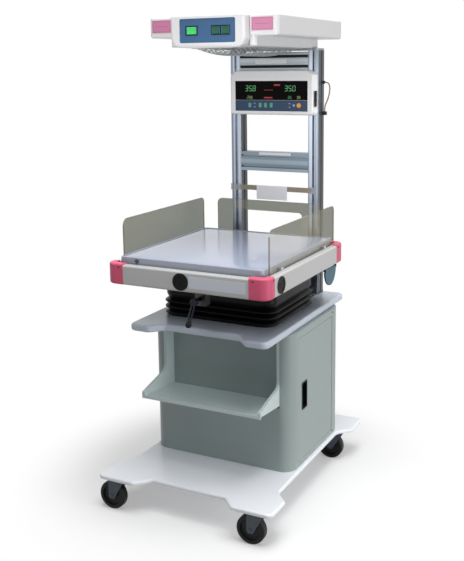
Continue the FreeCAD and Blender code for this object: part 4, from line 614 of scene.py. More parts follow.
# Dark and light colours of the painted reflection bands on the posts, and the dark colour of their right
# flank, a painted reflection too.
POST_DARK_REFLECTION = (0.18, 0.22, 0.27)
POST_LIGHT_REFLECTION = (0.50, 0.55, 0.64)
POST_FLANK_DARK_REFLECTION = (0.030, 0.036, 0.040)
FLANK_SKIN = 0.0004
FLANK_REFLECTION_METALLIC_CUT = 0.92
DRAWN_BUMP = (0.06, 0.0003)


def drawn_metal(name, colour, roughness, stretch, streaks=900.0):
    """Metal with fine streaks along its length."""
    material, tree, shader, coordinates = start_material(name, colour, roughness, metallic=1.0)
    vary_colour(tree, shader, add_noise(tree, coordinates, 3.0, 2.0), colour, 0.05)
    streak = add_noise(tree, coordinates, streaks, 2.0, stretch)
    vary_roughness(tree, shader, streak, roughness * 0.8, roughness * 1.25)
    add_bump(tree, shader, streak, *DRAWN_BUMP)
    return material


def reflection_banded_metal(name, dark, light, stretch, bands):
    """Drawn profile with light and dark bands painted along it, as painted reflection of the studio in
    its ribs.
    """
    material, tree, shader, coordinates = start_material(name, light, 0.36, metallic=1.0)
    band = add_noise(tree, coordinates, bands, 1.0, stretch)
    ramp_colour(tree, shader, band, dark, light, (0.40, 0.60))
    fine = add_noise(tree, coordinates, 900.0, 2.0, stretch)
    vary_roughness(tree, shader, fine, 0.28, 0.44)
    add_bump(tree, shader, fine, *DRAWN_BUMP)
    return material


def post_finish(name, side_plane):
    """Post finish whose flank that faces right, past the given plane, is painted darker and less
    metallic, as painted reflection of a dark corner of the studio.
    """
    material = reflection_banded_metal(name, POST_DARK_REFLECTION, POST_LIGHT_REFLECTION, UPRIGHT, 75.0)
    tree, shader, coordinates = inside(material)
    # Painted reflection: the right flank gets a dark colour and less metal.
    flank = beyond(tree, coordinates, "X", side_plane)
    second_colour(tree, shader, flank, POST_FLANK_DARK_REFLECTION)
    fill(tree, shader, Metallic=calculate(tree, "MULTIPLY_ADD", flank, -FLANK_REFLECTION_METALLIC_CUT, 1.0))
    return material


post_left_low, post_left_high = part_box("post_left")
post_left_metal = post_finish("post_left_aluminium", post_left_high[0] - FLANK_SKIN)
post_right_metal = post_finish("post_right_aluminium", -post_left_low[0] - FLANK_SKIN)
# Dark and light colours of the painted reflection bands on each beam.
top_beam_metal = reflection_banded_metal("top_beam_aluminium", (0.30, 0.34, 0.37), (0.44, 0.48, 0.51), LEVEL, 60.0)
middle_beam_metal = reflection_banded_metal(
    "middle_beam_aluminium", (0.17, 0.22, 0.26), (0.27, 0.33, 0.38), LEVEL, 60.0
)
hinge_metal = drawn_metal("hinge_aluminium", (0.50, 0.52, 0.55), 0.34, (1.0, 0.02, 1.0))
# The crank's chrome is painted dark, as painted reflection of the dark studio; the door pins share it.
dark_reflection_chrome = drawn_metal("dark_reflection_chrome", (0.020, 0.020, 0.026), 0.24, EVEN, 60.0)
dull_steel = drawn_metal("dull_steel", (0.26, 0.27, 0.28), 0.38, (0.05, 1.0, 1.0))
screw_steel = drawn_metal("dark_screw_steel", (0.050, 0.052, 0.058), 0.34, EVEN)
reflector_metal = drawn_metal("reflector_metal", (0.62, 0.63, 0.64), 0.22, (1.0, 0.02, 1.0))
heater_sheath = drawn_metal("heater_sheath", (0.22, 0.21, 0.20), 0.45, (1.0, 0.05, 1.0))
print("metal finishes: 10")

# %% [markdown]
# ## Rubber and tyres
# The bellows and the tyres are black rubber. New rubber has a soft sheen that breaks up over small
# unevenness, so the roughness changes more than on plastic, and a little dust greys the broad areas.


# %% Rubber finishes
def rubber(name, colour, roughness, dust, shine=0.2):
    """Black rubber with a trace of dust in broad patches."""
    material, tree, shader, coordinates = start_material(name, colour, roughness)
    fill(tree, shader, Specular_IOR_Level=shine)
    broad = add_noise(tree, coordinates, 9.0, 4.0)
    ramp_colour(tree, shader, broad, colour, [c + dust for c in colour], (0.45, 0.85))
    vary_roughness(tree, shader, broad, roughness * 0.8, roughness * 1.3)
    add_bump(tree, shader, add_noise(tree, coordinates, 380.0, 3.0), 0.12, 0.0004)
    return material


bellows_rubber = rubber("bellows_rubber", (0.0022, 0.0023, 0.0030), 0.30, 0.002, shine=0.10)
tyre_rubber = rubber("tyre_rubber", (0.004, 0.004, 0.004), 0.42, 0.004)
lead_sheath = rubber("lead_sheath", (0.26, 0.19, 0.14), 0.50, 0.03)
print("rubber finishes: 3")

# %% [markdown]
# ## Clear sheets
# The bed's panels are clear acrylic with a trace of warm grey. A thin sheet hardly bends light, so the
# sheet is made partly see-through under a sharp gloss. Its cut edges gather the light of the whole
# sheet and look brown and much denser, so the opacity rises past the planes of the edges. The
# accessory bar is a beige sheet of the same kind, and the display window is a black one.

# %% Clear finishes
SHEET_TINT = (0.52, 0.46, 0.26)
SHEET_OPACITY = 0.13
EDGE_BROWN = (0.22, 0.17, 0.11)
EDGE_SKIN = 0.0008


def clear_sheet(name, colour, opacity, roughness, gloss=0.5):
    """Clear sheet with a gloss and faint wiping marks."""
    material, tree, shader, coordinates = start_material(name, colour, roughness)
    wipes = add_noise(tree, coordinates, 14.0, 5.0, (1.0, 1.0, 3.0))
    vary_roughness(tree, shader, wipes, roughness * 0.6, roughness * 1.8)
    fill(tree, shader, Alpha=opacity, IOR=1.49, Specular_IOR_Level=gloss)
    return material


def panel_sheet(name, node, axis, edge_opacity):
    """Clear sheet with denser, brown edges at both ends of an axis and along its top."""
    material = clear_sheet(name, SHEET_TINT, SHEET_OPACITY, 0.05)
    tree, shader, coordinates = inside(material)
    index = "XYZ".index(axis)
    low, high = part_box(node)
    first = before(tree, coordinates, axis, low[index] + EDGE_SKIN)
    second = beyond(tree, coordinates, axis, high[index] - EDGE_SKIN)
    top = beyond(tree, coordinates, "Z", high[2] - EDGE_SKIN)
    edge = calculate(tree, "MAXIMUM", calculate(tree, "MAXIMUM", first, second), top)
    density = add_node(tree, "MapRange", Value=edge, To_Min=SHEET_OPACITY, To_Max=edge_opacity)
    colour = mix_colours(tree, edge, (*SHEET_TINT, 1.0), (*EDGE_BROWN, 1.0))
    fill(tree, shader, Alpha=density.outputs["Result"], Base_Color=colour)
    return material


side_sheet = panel_sheet("clear_side_sheet", "side_panel_right", "Y", 0.80)
rear_sheet = panel_sheet("clear_rear_sheet", "rear_panel", "X", 0.70)
beige_bar = clear_sheet("beige_bar_sheet", (0.36, 0.31, 0.22), 0.75, 0.12)
clear_clip = clear_sheet("clear_clip_plastic", (0.75, 0.75, 0.75), 0.30, 0.10)
dark_window = clear_sheet("dark_display_window", (0.004, 0.003, 0.003), 1.0, 0.10, gloss=0.04)
print("clear finishes: 5")

# %% [markdown]
# ## Lights on the controls
# The numbers and one switch glow. A glowing material has a dim body colour, so that it still reads as
# a coloured lens in bright light, and a modest emission on the same shader.


# %% Glowing finishes
def glowing(name, colour, strength):
    """Coloured lens that glows a little."""
    material, tree, shader, coordinates = start_material(name, colour, 0.35)
    vary_roughness(tree, shader, add_noise(tree, coordinates, 500.0, 2.0), 0.28, 0.42)
    fill(tree, shader, Emission_Color=(*colour, 1.0), Emission_Strength=strength)
    return material


digit_green = glowing("digit_green", (0.10, 0.36, 0.14), 0.60)
digit_yellow = glowing("digit_yellow", (0.30, 0.36, 0.12), 0.60)
mark_red = glowing("mark_red", (0.28, 0.012, 0.020), 0.45)
lit_rocker = glowing("lit_rocker", (0.035, 0.42, 0.09), 0.42)
dark_rocker = coated("dark_rocker", (0.006, 0.090, 0.035), 0.30, 0.05, 400.0, 0.05, shine=0.4)
print("glowing finishes: 4, and one unlit rocker")

# %% [markdown]
# ## Paint the CAD parts
# Each CAD part keeps its shape and gets its finish here, by name. The list is read like a paint
# schedule: one finish, and the parts that are sprayed, moulded or machined in it.

# %% Paint schedule
CASTER_FORKS = " ".join(name for name in nodes if name.startswith("caster_fork"))
CASTER_WHEELS = " ".join(name for name in nodes if name.startswith("caster_wheel"))
PAINT_SCHEDULE = (
    (base_plastic, "base_plate"),
    (tabletop_plastic, "tabletop"),
    (cabinet_paint, "cabinet_shell side_door"),
    (tray_paint, "instrument_tray"),
    (white_plastic, "hood_shell hood_console heater_pan"),
    (box_white, "control_box"),
    (rail_plastic, "bed_frame"),
    (tray_white, "bed_tray"),
    (pink_bumper, "corner_bumpers"),
    (pink_label, "wing_labels"),
    (black_plastic, "rail_socket_caps door_pull crank_knob"),
    (teal_plastic, "release_lever"),
    (blue_panel, "switch_panel"),
    (keypad_blue, "keypad"),
    (bright_plate, "beam_plates hanging_plate"),
    (rail_film, "rail_plate"),
    (fork_paint, CASTER_FORKS),
    (tyre_rubber, CASTER_WHEELS),
    (bellows_rubber, "bellows"),
    (lead_sheath, "sensor_lead"),
    (gland_black, "lead_glands"),
    (key_green, "keypad_keys"),
    (orange_button, "standby_button"),
    (clear_clip, "accessory_clips"),
    (guide_grey, "rear_panel_guides"),
    (grille_grey, "heater_grille"),
    (post_left_metal, "post_left"),
    (post_right_metal, "post_right"),
    (top_beam_metal, "top_beam"),
    (middle_beam_metal, "middle_beam"),
    (hinge_metal, "panel_hinges"),
    (dark_reflection_chrome, "crank_arm door_pins"),
    (dull_steel, "tilt_pedestal tilt_shaft post_feet hood_bracket"),
    (reflector_metal, "reflector"),
    (heater_sheath, "heater_elements"),
    (side_sheet, "side_panel_left side_panel_right"),
    (rear_sheet, "rear_panel"),
    (beige_bar, "accessory_bar"),
    (dark_window, "display_window"),
    (lit_rocker, "rocker_power"),
    (dark_rocker, "rocker_lamp rocker_alarm"),
    (tray_white, "mattress"),
)

for finish_material, names in PAINT_SCHEDULE:
    for name in names.split():
        mesh = nodes[name].data
        mesh.materials.clear()
        mesh.materials.append(finish_material)

painted = {name for row in PAINT_SCHEDULE for name in row[1].split()}
print("painted", len(painted), "of", len(nodes), "left:", sorted(set(nodes) - painted))

# %% [markdown]
# ## Hang the lead
# The lead takes its sheath now that the finish exists, rides on the chassis with its two glands and
# stands for the plain CAD tube.

lead.data.materials.append(lead_sheath)
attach(lead, "chassis")
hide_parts("sensor_lead")
print("lead", round(lead_length * 1000), "mm long")

# %% [markdown]
# ## The mattress
# The mattress is a firm foam pad in a smooth pale cover. It fills its tray, rises a little in the
# middle, and its top edge rolls over in a soft round with a welded seam. A subdivided block gives
# enough points to crown the top and pull the sides in, and a thin closed tube round the edge makes the
# seam.

# %% Mattress cover material
COVER_BLUE = (0.32, 0.365, 0.50)
WEAVE_SHARE = 0.05


def mattress_cover():
    """Smooth coated cloth: fine weave in the bump, a sheen at glancing angles."""
    material, tree, shader, coordinates = start_material("mattress_cover", COVER_BLUE, 0.20)
    vary_colour(tree, shader, add_noise(tree, coordinates, 3.0, 2.0), COVER_BLUE, 0.03)
    weave = add_node(tree, "TexBrick", Vector=coordinates, Scale=900.0, Mortar_Size=0.03)
    creases = add_noise(tree, coordinates, 16.0, 2.0)
    height = calculate(tree, "MULTIPLY_ADD", weave.outputs["Fac"], WEAVE_SHARE, creases)
    add_bump(tree, shader, height, 0.10, 0.002)
    fill(tree, shader, Sheen_Weight=0.15, Sheen_Roughness=0.4, Coat_Weight=0.5, Coat_Roughness=0.07)
    return material


cover = mattress_cover()
print("mattress cover ready")

# %% Mattress form
MATTRESS_CROWN = 0.0035
MATTRESS_SIDE_PULL = 0.0035
MATTRESS_EDGE = 0.008
MATTRESS_CUTS = 18
SIDE_POWER = 12
SOFT_ANGLE = 60.0
SEAM_RADIUS = 0.0011
SEAM_DROP = 0.0062
SEAM_CORNER = 0.010
SEAM_INSET = 0.0008


def crown(u, v):
    """Height share of the crown at a place from -1 to 1 along each side."""
    return (1.0 - abs(u) ** 4) * (1.0 - abs(v) ** 4)


def make_mattress():
    """Rounded block, subdivided, crowned above and pulled in along its sides."""
    low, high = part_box("mattress")
    top = high[2] - MATTRESS_CROWN
    pad = new_block("mattress_pad", low, (high[0], high[1], top), MATTRESS_EDGE, 5)
    with editing():
        bpy.ops.mesh.subdivide(number_cuts=MATTRESS_CUTS)
    half_x = (high[0] - low[0]) / 2
    half_y = (high[1] - low[1]) / 2
    middle_y = (high[1] + low[1]) / 2
    for vertex in pad.data.vertices:
        u = vertex.co.x / half_x
        v = (vertex.co.y - middle_y) / half_y
        height = (vertex.co.z - low[2]) / (top - low[2])
        vertex.co.z += MATTRESS_CROWN * crown(u, v) * height
        belly = math.sin(math.pi * min(1.0, max(0.0, height)))
        pull_x = MATTRESS_SIDE_PULL * abs(u) ** SIDE_POWER * (1.0 - belly)
        pull_y = MATTRESS_SIDE_PULL * abs(v) ** SIDE_POWER * (1.0 - belly)
        vertex.co.x -= math.copysign(pull_x, vertex.co.x)
        vertex.co.y -= math.copysign(pull_y, v)
    return finish(pad, cover, "bed", SOFT_ANGLE)


mattress = make_mattress()
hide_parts("mattress")
print("mattress", [round(side, 3) for side in mattress.dimensions])


# %% Welded seam of the cover
def make_seam():
    """Thin closed tube that follows the rounded outline of the pad below its top edge."""
    low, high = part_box("mattress")
    size = (high[0] - low[0] - SEAM_INSET, high[1] - low[1] - SEAM_INSET)
    middle = (0, (high[1] + low[1]) / 2, high[2] - SEAM_DROP)
    seam = rounded_outline("mattress_seam", size, middle, SEAM_CORNER, 6)
    bpy.ops.object.convert(target="CURVE")
    seam.data.bevel_depth = SEAM_RADIUS
    seam.data.bevel_resolution = 3
    bpy.ops.object.convert(target="MESH")
    return finish(bpy.context.object, cover, "bed", SOFT_ANGLE)


seam = make_seam()
print("seam", len(seam.data.polygons), "faces")

# %% [markdown]
# ## The bellows
# A folded rubber skirt hides the tilt mechanism. Its lower part is a stack of three round folds and its
# upper part widens to the bed frame. As on a real mould, one outline is drawn and extruded up ring by
# ring, each ring a little wider or narrower.

# %% Bellows skirt
BELLOWS_FOLDS = 3
BELLOWS_FOLD_HEIGHT = 0.022
BELLOWS_FOLD_STEPS = 8
BELLOWS_DEPTH = 0.012
BELLOWS_CORNER = 0.050
BELLOWS_THICKNESS = 0.0025
FLARE_STEPS = 12
FLARE_ROLL = 0.0035


def bellows_rings(bottom, top):
    """Height and inset of each ring: three round folds below, and a skirt that flares to the bed."""
    rings = []
    for step in range(BELLOWS_FOLDS * BELLOWS_FOLD_STEPS + 1):
        turn = step / BELLOWS_FOLD_STEPS
        wave = 0.5 - 0.5 * math.cos(2 * math.pi * turn)
        rings.append((bottom + BELLOWS_FOLD_HEIGHT * turn, BELLOWS_DEPTH * (1.0 - wave ** 0.6)))
    z, inset = rings[-1]
    for step in range(1, FLARE_STEPS + 1):
        share = step / FLARE_STEPS
        roll = FLARE_ROLL * math.sin(math.pi * min(1.0, share * 3.0))
        rings.append((z + (top - z) * share, max(0.0, inset * (1.0 - share) ** 1.4 - roll)))
    return rings


def make_bellows():
    """Rounded outline extruded up ring by ring, scaled about its own middle at each ring."""
    low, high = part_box("bellows")
    half_x = (high[0] - low[0]) / 2
    half_y = (high[1] - low[1]) / 2
    middle_y = (high[1] + low[1]) / 2
    size = (2 * half_x, 2 * half_y)
    skirt = rounded_outline("bellows_skirt", size, (0, middle_y, low[2]), BELLOWS_CORNER, 12)
    inset = 0.0
    z = low[2]
    with editing():
        for ring_z, ring_inset in bellows_rings(low[2], high[2]):
            if ring_z > z:
                bpy.ops.mesh.extrude_edges_move(TRANSFORM_OT_translate={"value": (0, 0, ring_z - z)})
            scale = [(half - ring_inset) / (half - inset) for half in (half_x, half_y)]
            bpy.ops.transform.resize(value=(*scale, 1.0), center_override=(0, middle_y, ring_z))
            z = ring_z
            inset = ring_inset
    face_outwards(skirt)
    wall = skirt.modifiers.new("wall", "SOLIDIFY")
    wall.thickness = BELLOWS_THICKNESS
    wall.offset = -1.0
    select_only(skirt)
    bpy.ops.object.modifier_apply(modifier="wall")
    bpy.ops.object.shade_smooth_by_angle(angle=math.radians(SOFT_ANGLE))
    skirt.data.materials.clear()
    skirt.data.materials.append(bellows_rubber)
    return skirt


bellows = make_bellows()
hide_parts("bellows")
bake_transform(bellows)
print("bellows", len(bellows.data.polygons), "faces")

# %% [markdown]
# ## Screws
# Small pan-head screws hold the posts, bumpers, door and hood. One screw is modelled at the origin, a
# short disc with a domed top and a cross slot, and each screw of the object is a copy that is turned to
# its surface and sunk by a hair.

# %% Screw template
SCREW_RADIUS = 0.0036
SCREW_HEIGHT = 0.0018
SLOT_LENGTH = SCREW_RADIUS * 1.3
SLOT_WIDTH = SCREW_RADIUS * 0.22
FACE_TURNS = {
    "front": (math.pi / 2, 0.0, 0.0),
    "right": (0.0, math.pi / 2, 0.0),
    "left": (0.0, -math.pi / 2, 0.0),
    "down": (math.pi, 0.0, 0.0),
}


def facing_up(centre, normal):
    """True for a face that looks up."""
    return normal.z > 0.9


def cut_slot(screw, turn):
    """Cut one straight slot into the screw's head."""
    low = (-SLOT_LENGTH / 2, -SLOT_WIDTH / 2, SCREW_HEIGHT * 0.55)
    high = (SLOT_LENGTH / 2, SLOT_WIDTH / 2, SCREW_HEIGHT * 1.5)
    cutter = new_block("slot_cutter", low, high)
    cutter.rotation_euler = (0, 0, turn)
    settle(cutter)
    cut = screw.modifiers.new("slot", "BOOLEAN")
    cut.operation = "DIFFERENCE"
    cut.object = cutter
    select_only(screw)
    bpy.ops.object.modifier_apply(modifier="slot")
    bpy.data.objects.remove(cutter)


def make_screw_template():
    """Domed head with a cross slot, pointing along +Z."""
    bpy.ops.object.select_all(action="DESELECT")
    bpy.ops.mesh.primitive_cylinder_add(
        vertices=24, radius=SCREW_RADIUS, depth=SCREW_HEIGHT, location=(0, 0, SCREW_HEIGHT / 2)
    )
    screw = bpy.context.object
    screw.name = "screw_template"
    settle(screw)
    select_faces(screw, facing_up)
    with editing(chosen=True):
        bpy.ops.mesh.bevel(offset=SCREW_HEIGHT * 0.6, segments=4, affect="EDGES")
    for turn in (0.0, math.pi / 2):
        cut_slot(screw, turn)
    select_only(screw)
    bpy.ops.object.shade_smooth_by_angle(angle=math.radians(30))
    screw.data.materials.append(screw_steel)
    return screw


screw_template = make_screw_template()
print("screw", len(screw_template.data.polygons), "faces")

# %% [markdown]
# The screws go where the photograph shows them: two on each post beside each beam, one at the hinge
# end of the door above and below, a front and a side screw in each front bumper, a side screw in each
# rear one, and two under the hood's lower body.

# %% Place the screws
SUNK = 0.0004
BEAM_SCREW_INSET = 0.017
POST_GROOVE = 0.0118
DOOR_SCREW_Y = 0.254
DOOR_SCREW_HEIGHTS = (0.140, 0.633)
BUMPER_SCREW_X = 0.262
BUMPER_SCREW_Z = 0.899
BUMPER_SIDE_SCREWS_Y = (-0.352, 0.240)
PAN_SCREWS_MIDDLE = (0.038, 0.350)
PAN_SCREWS_HALF = 0.02


def screw_places():
    """Place, facing and body of each screw."""
    post_low, post_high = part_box("post_right")
    post_x = (post_low[0] + post_high[0]) / 2
    places = []
    for beam in ("top_beam", "middle_beam"):
        beam_low, beam_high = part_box(beam)
        for z in (beam_low[2] + BEAM_SCREW_INSET, beam_high[2] - BEAM_SCREW_INSET):
            for side in (-1, 1):
                places.append(((side * post_x, post_low[1] + POST_GROOVE, z), "front", "chassis"))
    cabinet_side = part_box("cabinet_shell")[1][0]
    for z in DOOR_SCREW_HEIGHTS:
        places.append(((cabinet_side - SUNK, DOOR_SCREW_Y, z), "right", "chassis"))
    bumper_low, bumper_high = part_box("corner_bumpers")
    pan_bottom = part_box("heater_pan")[0][2]
    for side, facing in ((-1, "left"), (1, "right")):
        front = (side * BUMPER_SCREW_X, bumper_low[1] + SUNK, BUMPER_SCREW_Z)
        places.append((front, "front", "bed"))
        for y in BUMPER_SIDE_SCREWS_Y:
            places.append(((side * (bumper_high[0] - SUNK), y, BUMPER_SCREW_Z), facing, "bed"))
        pan_x = PAN_SCREWS_MIDDLE[0] + side * PAN_SCREWS_HALF
        places.append(((pan_x, PAN_SCREWS_MIDDLE[1], pan_bottom + SUNK), "down", "chassis"))
    return places


places = screw_places()
for index, (place, facing, body) in enumerate(places):
    copy_to(screw_template, f"screw_{index:02d}", place, FACE_TURNS[facing], body)
bpy.data.objects.remove(screw_template)
print("screws:", len(places))

# %% [markdown]
# ## Thumb knob of the tray
# A small slate-blue knob at the left of the tray's front locks the mattress tray. It is a short
# cylinder whose rim is cut into grips: every second face of its side is pushed in, and the front is
# inset and sunk.

# %% Thumb knob
KNOB_RADIUS = 0.0062
KNOB_DEPTH = 0.0075
KNOB_SUNK = 0.0030
KNOB_SIDES = 32
KNOB_PLACE = (-0.208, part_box("bed_tray")[0][1] - KNOB_SUNK, 0.918)


def is_grip(face):
    """True for every second face of the knob's side."""
    turn = math.degrees(math.atan2(face.normal.y, face.normal.x))
    on_side = abs(face.normal.z) < 0.1 and face.area > 1e-6
    return on_side and int(turn // (360 / KNOB_SIDES)) % 2 == 1


def make_thumb_knob():
    """Knurled knob that points to the front."""
    bpy.ops.object.select_all(action="DESELECT")
    bpy.ops.mesh.primitive_cylinder_add(vertices=KNOB_SIDES, radius=KNOB_RADIUS, depth=KNOB_DEPTH)
    knob = bpy.context.object
    knob.name = "tray_knob"
    select_faces(knob, facing_up)
    with editing(chosen=True):
        bpy.ops.mesh.inset(thickness=0.0012, depth=0.0)
        bpy.ops.mesh.inset(thickness=0.0008, depth=-0.0010)
    for face in knob.data.polygons:
        face.select = is_grip(face)
    with editing(chosen=True):
        bpy.ops.mesh.inset(thickness=0.00015, depth=-0.0004, use_individual=True)
    knob.rotation_euler = FACE_TURNS["front"]
    knob.location = KNOB_PLACE
    return finish(knob, knob_blue, "bed")


make_thumb_knob()
print("thumb knob at", KNOB_PLACE)

# %% [markdown]
# ## Rings and ribs of the socket caps
# Each round cap in the rails has a ring and four grip ribs on the floor of its dish. One cap front is
# modelled at the origin, from a ring and four rounded bars that are joined, and a copy goes in each
# cap.

# %% Cap fronts
CAP_RING_RADIUS = 0.0190
CAP_RIB_REACH = 0.0160
CAP_FLOOR = -0.0012
CAP_RIB_OFFSETS = (-0.0078, -0.0026, 0.0026, 0.0078)
CAP_RING_THICKNESS = 0.0011
CAP_RIB_HALF = 0.0009
CAP_RIB_ROOT = 0.0010


def make_cap_front():
    """Ring with ribs, facing up at the origin."""
    bpy.ops.object.select_all(action="DESELECT")
    bpy.ops.mesh.primitive_torus_add(
        major_radius=CAP_RING_RADIUS,
        minor_radius=CAP_RING_THICKNESS,
        major_segments=48,
        minor_segments=10,
        location=(0, 0, CAP_FLOOR),
    )
    ring = bpy.context.object
    ring.name = "cap_front_template"
    settle(ring)
    parts = [ring]
    for offset in CAP_RIB_OFFSETS:
        reach = math.sqrt(CAP_RIB_REACH ** 2 - offset ** 2)
        low = (offset - CAP_RIB_HALF, -reach, CAP_FLOOR - CAP_RIB_ROOT)
        high = (offset + CAP_RIB_HALF, reach, CAP_FLOOR + CAP_RIB_HALF)
        parts.append(new_block("cap_rib", low, high, 0.0004, 2))
    join(parts)
    bpy.ops.object.shade_smooth_by_angle(angle=math.radians(40))
    ring.data.materials.clear()
    ring.data.materials.append(frame_black)
    return ring


def cap_places():
    """Middle and facing of each cap, from the caps' own front faces."""
    caps = nodes["rail_socket_caps"].data
    low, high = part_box("rail_socket_caps")
    planes = {"front": (1, low[1]), "right": (0, high[0]), "left": (0, low[0])}
    found = []
    for facing, (axis, plane) in planes.items():
        points = [vertex.co for vertex in caps.vertices if abs(vertex.co[axis] - plane) < SUNK]
        middle = [(min(p[i] for p in points) + max(p[i] for p in points)) / 2 for i in range(3)]
        found.append((middle, facing))
    return found


cap_front = make_cap_front()
caps_found = cap_places()
for index, (middle, facing) in enumerate(caps_found):
    copy_to(cap_front, f"cap_front_{index}", middle, FACE_TURNS[facing], "bed")
bpy.data.objects.remove(cap_front)
print("cap fronts:", len(caps_found))

# %% [markdown]
# ## Numbers on the display
# Each number is made of seven bars, as on a real lamp display. One bar with pointed ends is modelled
# flat, copied seven times per digit, leaned a little and sunk into the front of the dark window.

# %% Seven-segment digits
DIGIT_HEIGHT = 0.020
DIGIT_WIDTH = 0.0108
BAR_WIDTH = 0.0019
DIGIT_PROUD = 0.0003
DIGIT_LEAN = 0.10
DIGIT_STEP = 1.55
DOT_BACK = 0.62
FLAT_SHARE = 0.92
UPRIGHT_SHARE = 0.94
HEXAGON_HEIGHT = 0.866
BAR_DEPTH = 0.001
BAR_POINT = 0.12
SEGMENTS = {
    "a": (0.0, 1.0, "flat"),
    "b": (0.5, 0.5, "upright"),
    "c": (0.5, -0.5, "upright"),
    "d": (0.0, -1.0, "flat"),
    "e": (-0.5, -0.5, "upright"),
    "f": (-0.5, 0.5, "upright"),
    "g": (0.0, 0.0, "flat"),
}
DIGIT_BARS = {
    "0": "abcdef",
    "2": "abged",
    "3": "abgcd",
    "5": "afgcd",
    "6": "afgedc",
    "8": "abcdefg",
}


def make_bar_template():
    """Flat six-sided bar of unit length along X, lying in the upright front plane."""
    bpy.ops.object.select_all(action="DESELECT")
    bpy.ops.mesh.primitive_circle_add(
        vertices=6, radius=0.5, fill_type="NGON", rotation=(math.pi / 2, 0, 0)
    )
    bar = bpy.context.object
    bar.name = "bar_template"
    settle(bar)
    for vertex in bar.data.vertices:
        reach = 0.5 if abs(vertex.co.x) > 0.4 else 0.5 - BAR_POINT
        vertex.co.x = math.copysign(reach, vertex.co.x)
    with editing():
        bpy.ops.mesh.extrude_region_move(TRANSFORM_OT_translate={"value": (0, BAR_DEPTH, 0)})
    return bar


bar_template = make_bar_template()
print("bar corners", len(bar_template.data.vertices))


# %% Write a number
display_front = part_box("display_window")[0][1]
READINGS = (
    ("reading_skin", "35.8", -0.1125, 1.5015, 1.0, digit_green),
    ("reading_set", "35.0", 0.0610, 1.5015, 1.0, digit_green),
    ("reading_timer", "20.8", -0.1040, 1.4665, 0.48, digit_yellow),
    ("reading_power", "05", 0.0750, 1.4665, 0.48, digit_green),
    ("reading_step", "06", 0.1140, 1.4665, 0.48, digit_yellow),
)


def place_bar(x, z, turn, length, thickness):
    """Matrix that sizes a bar, turns it and puts it on the window."""
    size = Matrix.Diagonal((length, DIGIT_PROUD / BAR_DEPTH, thickness, 1.0))
    place = Matrix.Translation((x, display_front - DIGIT_PROUD, z))
    return place @ Matrix.Rotation(turn, 4, "Y") @ size


def digit_bar(x, z, scale, across, up, kind):
    """Place of one bar of a digit whose middle is at (x, z)."""
    width = DIGIT_WIDTH * scale
    height = DIGIT_HEIGHT * scale / 2
    offset_z = up * height
    offset_x = across * width + offset_z * DIGIT_LEAN
    length = width * FLAT_SHARE if kind == "flat" else height * UPRIGHT_SHARE
    turn = 0.0 if kind == "flat" else math.pi / 2 - DIGIT_LEAN
    return place_bar(x + offset_x, z + offset_z, turn, length, BAR_WIDTH * scale / HEXAGON_HEIGHT)


def write_number(name, text, left, z, scale, material):
    """Number such as 35.8, read from its left end, as one joined piece."""
    bars = []
    x = left + DIGIT_WIDTH * scale / 2
    for character in text:
        if character == ".":
            dot_x = x - DIGIT_WIDTH * scale * DOT_BACK
            dot_z = z - DIGIT_HEIGHT * scale / 2
            bars.append(place_bar(dot_x, dot_z, 0.0, BAR_WIDTH * scale, BAR_WIDTH * scale))
            continue
        for segment in DIGIT_BARS[character]:
            bars.append(digit_bar(x, z, scale, *SEGMENTS[segment]))
        x += DIGIT_WIDTH * scale * DIGIT_STEP
    pieces = []
    for matrix in bars:
        piece = bpy.data.objects.new(name, bar_template.data.copy())
        piece.data.transform(matrix)
        bpy.context.scene.collection.objects.link(piece)
        pieces.append(piece)
    finish(join(pieces), material, "chassis")


for reading in READINGS:
    write_number(*reading)
bpy.data.objects.remove(bar_template)
print("numbers on the display:", len(READINGS))

# %% [markdown]
# ## Red lamps and rocker frames
# Between the numbers sit a few small red lamps, and each rocker switch has a black frame. They are
# shallow bevelled blocks, sunk into the surface that carries them.

# %% Lamps and frames
RED_LAMPS = (
    ("lamp_alarm", 0.0137, 0.0397, 1.5116, 1.5180),
    ("lamp_heater", -0.0300, 0.0070, 1.4625, 1.4680),
)
STEP_LAMPS = 4
STEP_LAMP_LEFT = -0.030
STEP_LAMP_PITCH = 0.0105
STEP_LAMP_WIDTH = 0.0075
STEP_LAMP_HEIGHTS = (1.4940, 1.4962)
ROCKER_FRAME = 0.0038
ROCKER_ROOM = 0.0013
ROCKER_FRAME_PROUD = 0.0009


def red_lamp(name, x0, x1, z0, z1):
    """Small red bar behind the window's front."""
    low = (x0, display_front - DIGIT_PROUD, z0)
    high = (x1, display_front + SUNK, z1)
    finish(new_block(name, low, high, 0.0001, 1), mark_red, "chassis")


def thin_frame(name, low, high, grow, front_y, width, proud, material):
    """Narrow raised border on an upright front face, a little wider and higher than a box."""
    corner = (low[0] - grow[0], front_y - proud, low[2] - grow[1])
    border = new_block(name, corner, (high[0] + grow[0], front_y + SUNK, high[2] + grow[1]))
    select_faces(border, lambda centre, normal: abs(normal.y) > 0.9)
    with editing(chosen=True):
        bpy.ops.mesh.inset(thickness=width, depth=0.0)
        bpy.ops.mesh.bridge_edge_loops()
    finish(border, material, "chassis")


for lamp in RED_LAMPS:
    red_lamp(*lamp)
for index in range(STEP_LAMPS):
    left = STEP_LAMP_LEFT + index * STEP_LAMP_PITCH
    red_lamp(f"lamp_step_{index}", left, left + STEP_LAMP_WIDTH, *STEP_LAMP_HEIGHTS)

panel_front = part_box("switch_panel")[0][1]
width = ROCKER_FRAME - ROCKER_ROOM
grow = (ROCKER_FRAME, ROCKER_FRAME)
for rocker in ("rocker_power", "rocker_lamp", "rocker_alarm"):
    name = rocker + "_frame"
    thin_frame(name, *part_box(rocker), grow, panel_front, width, ROCKER_FRAME_PROUD, frame_black)
print("red lamps:", len(RED_LAMPS) + STEP_LAMPS, "and rocker frames: 3")

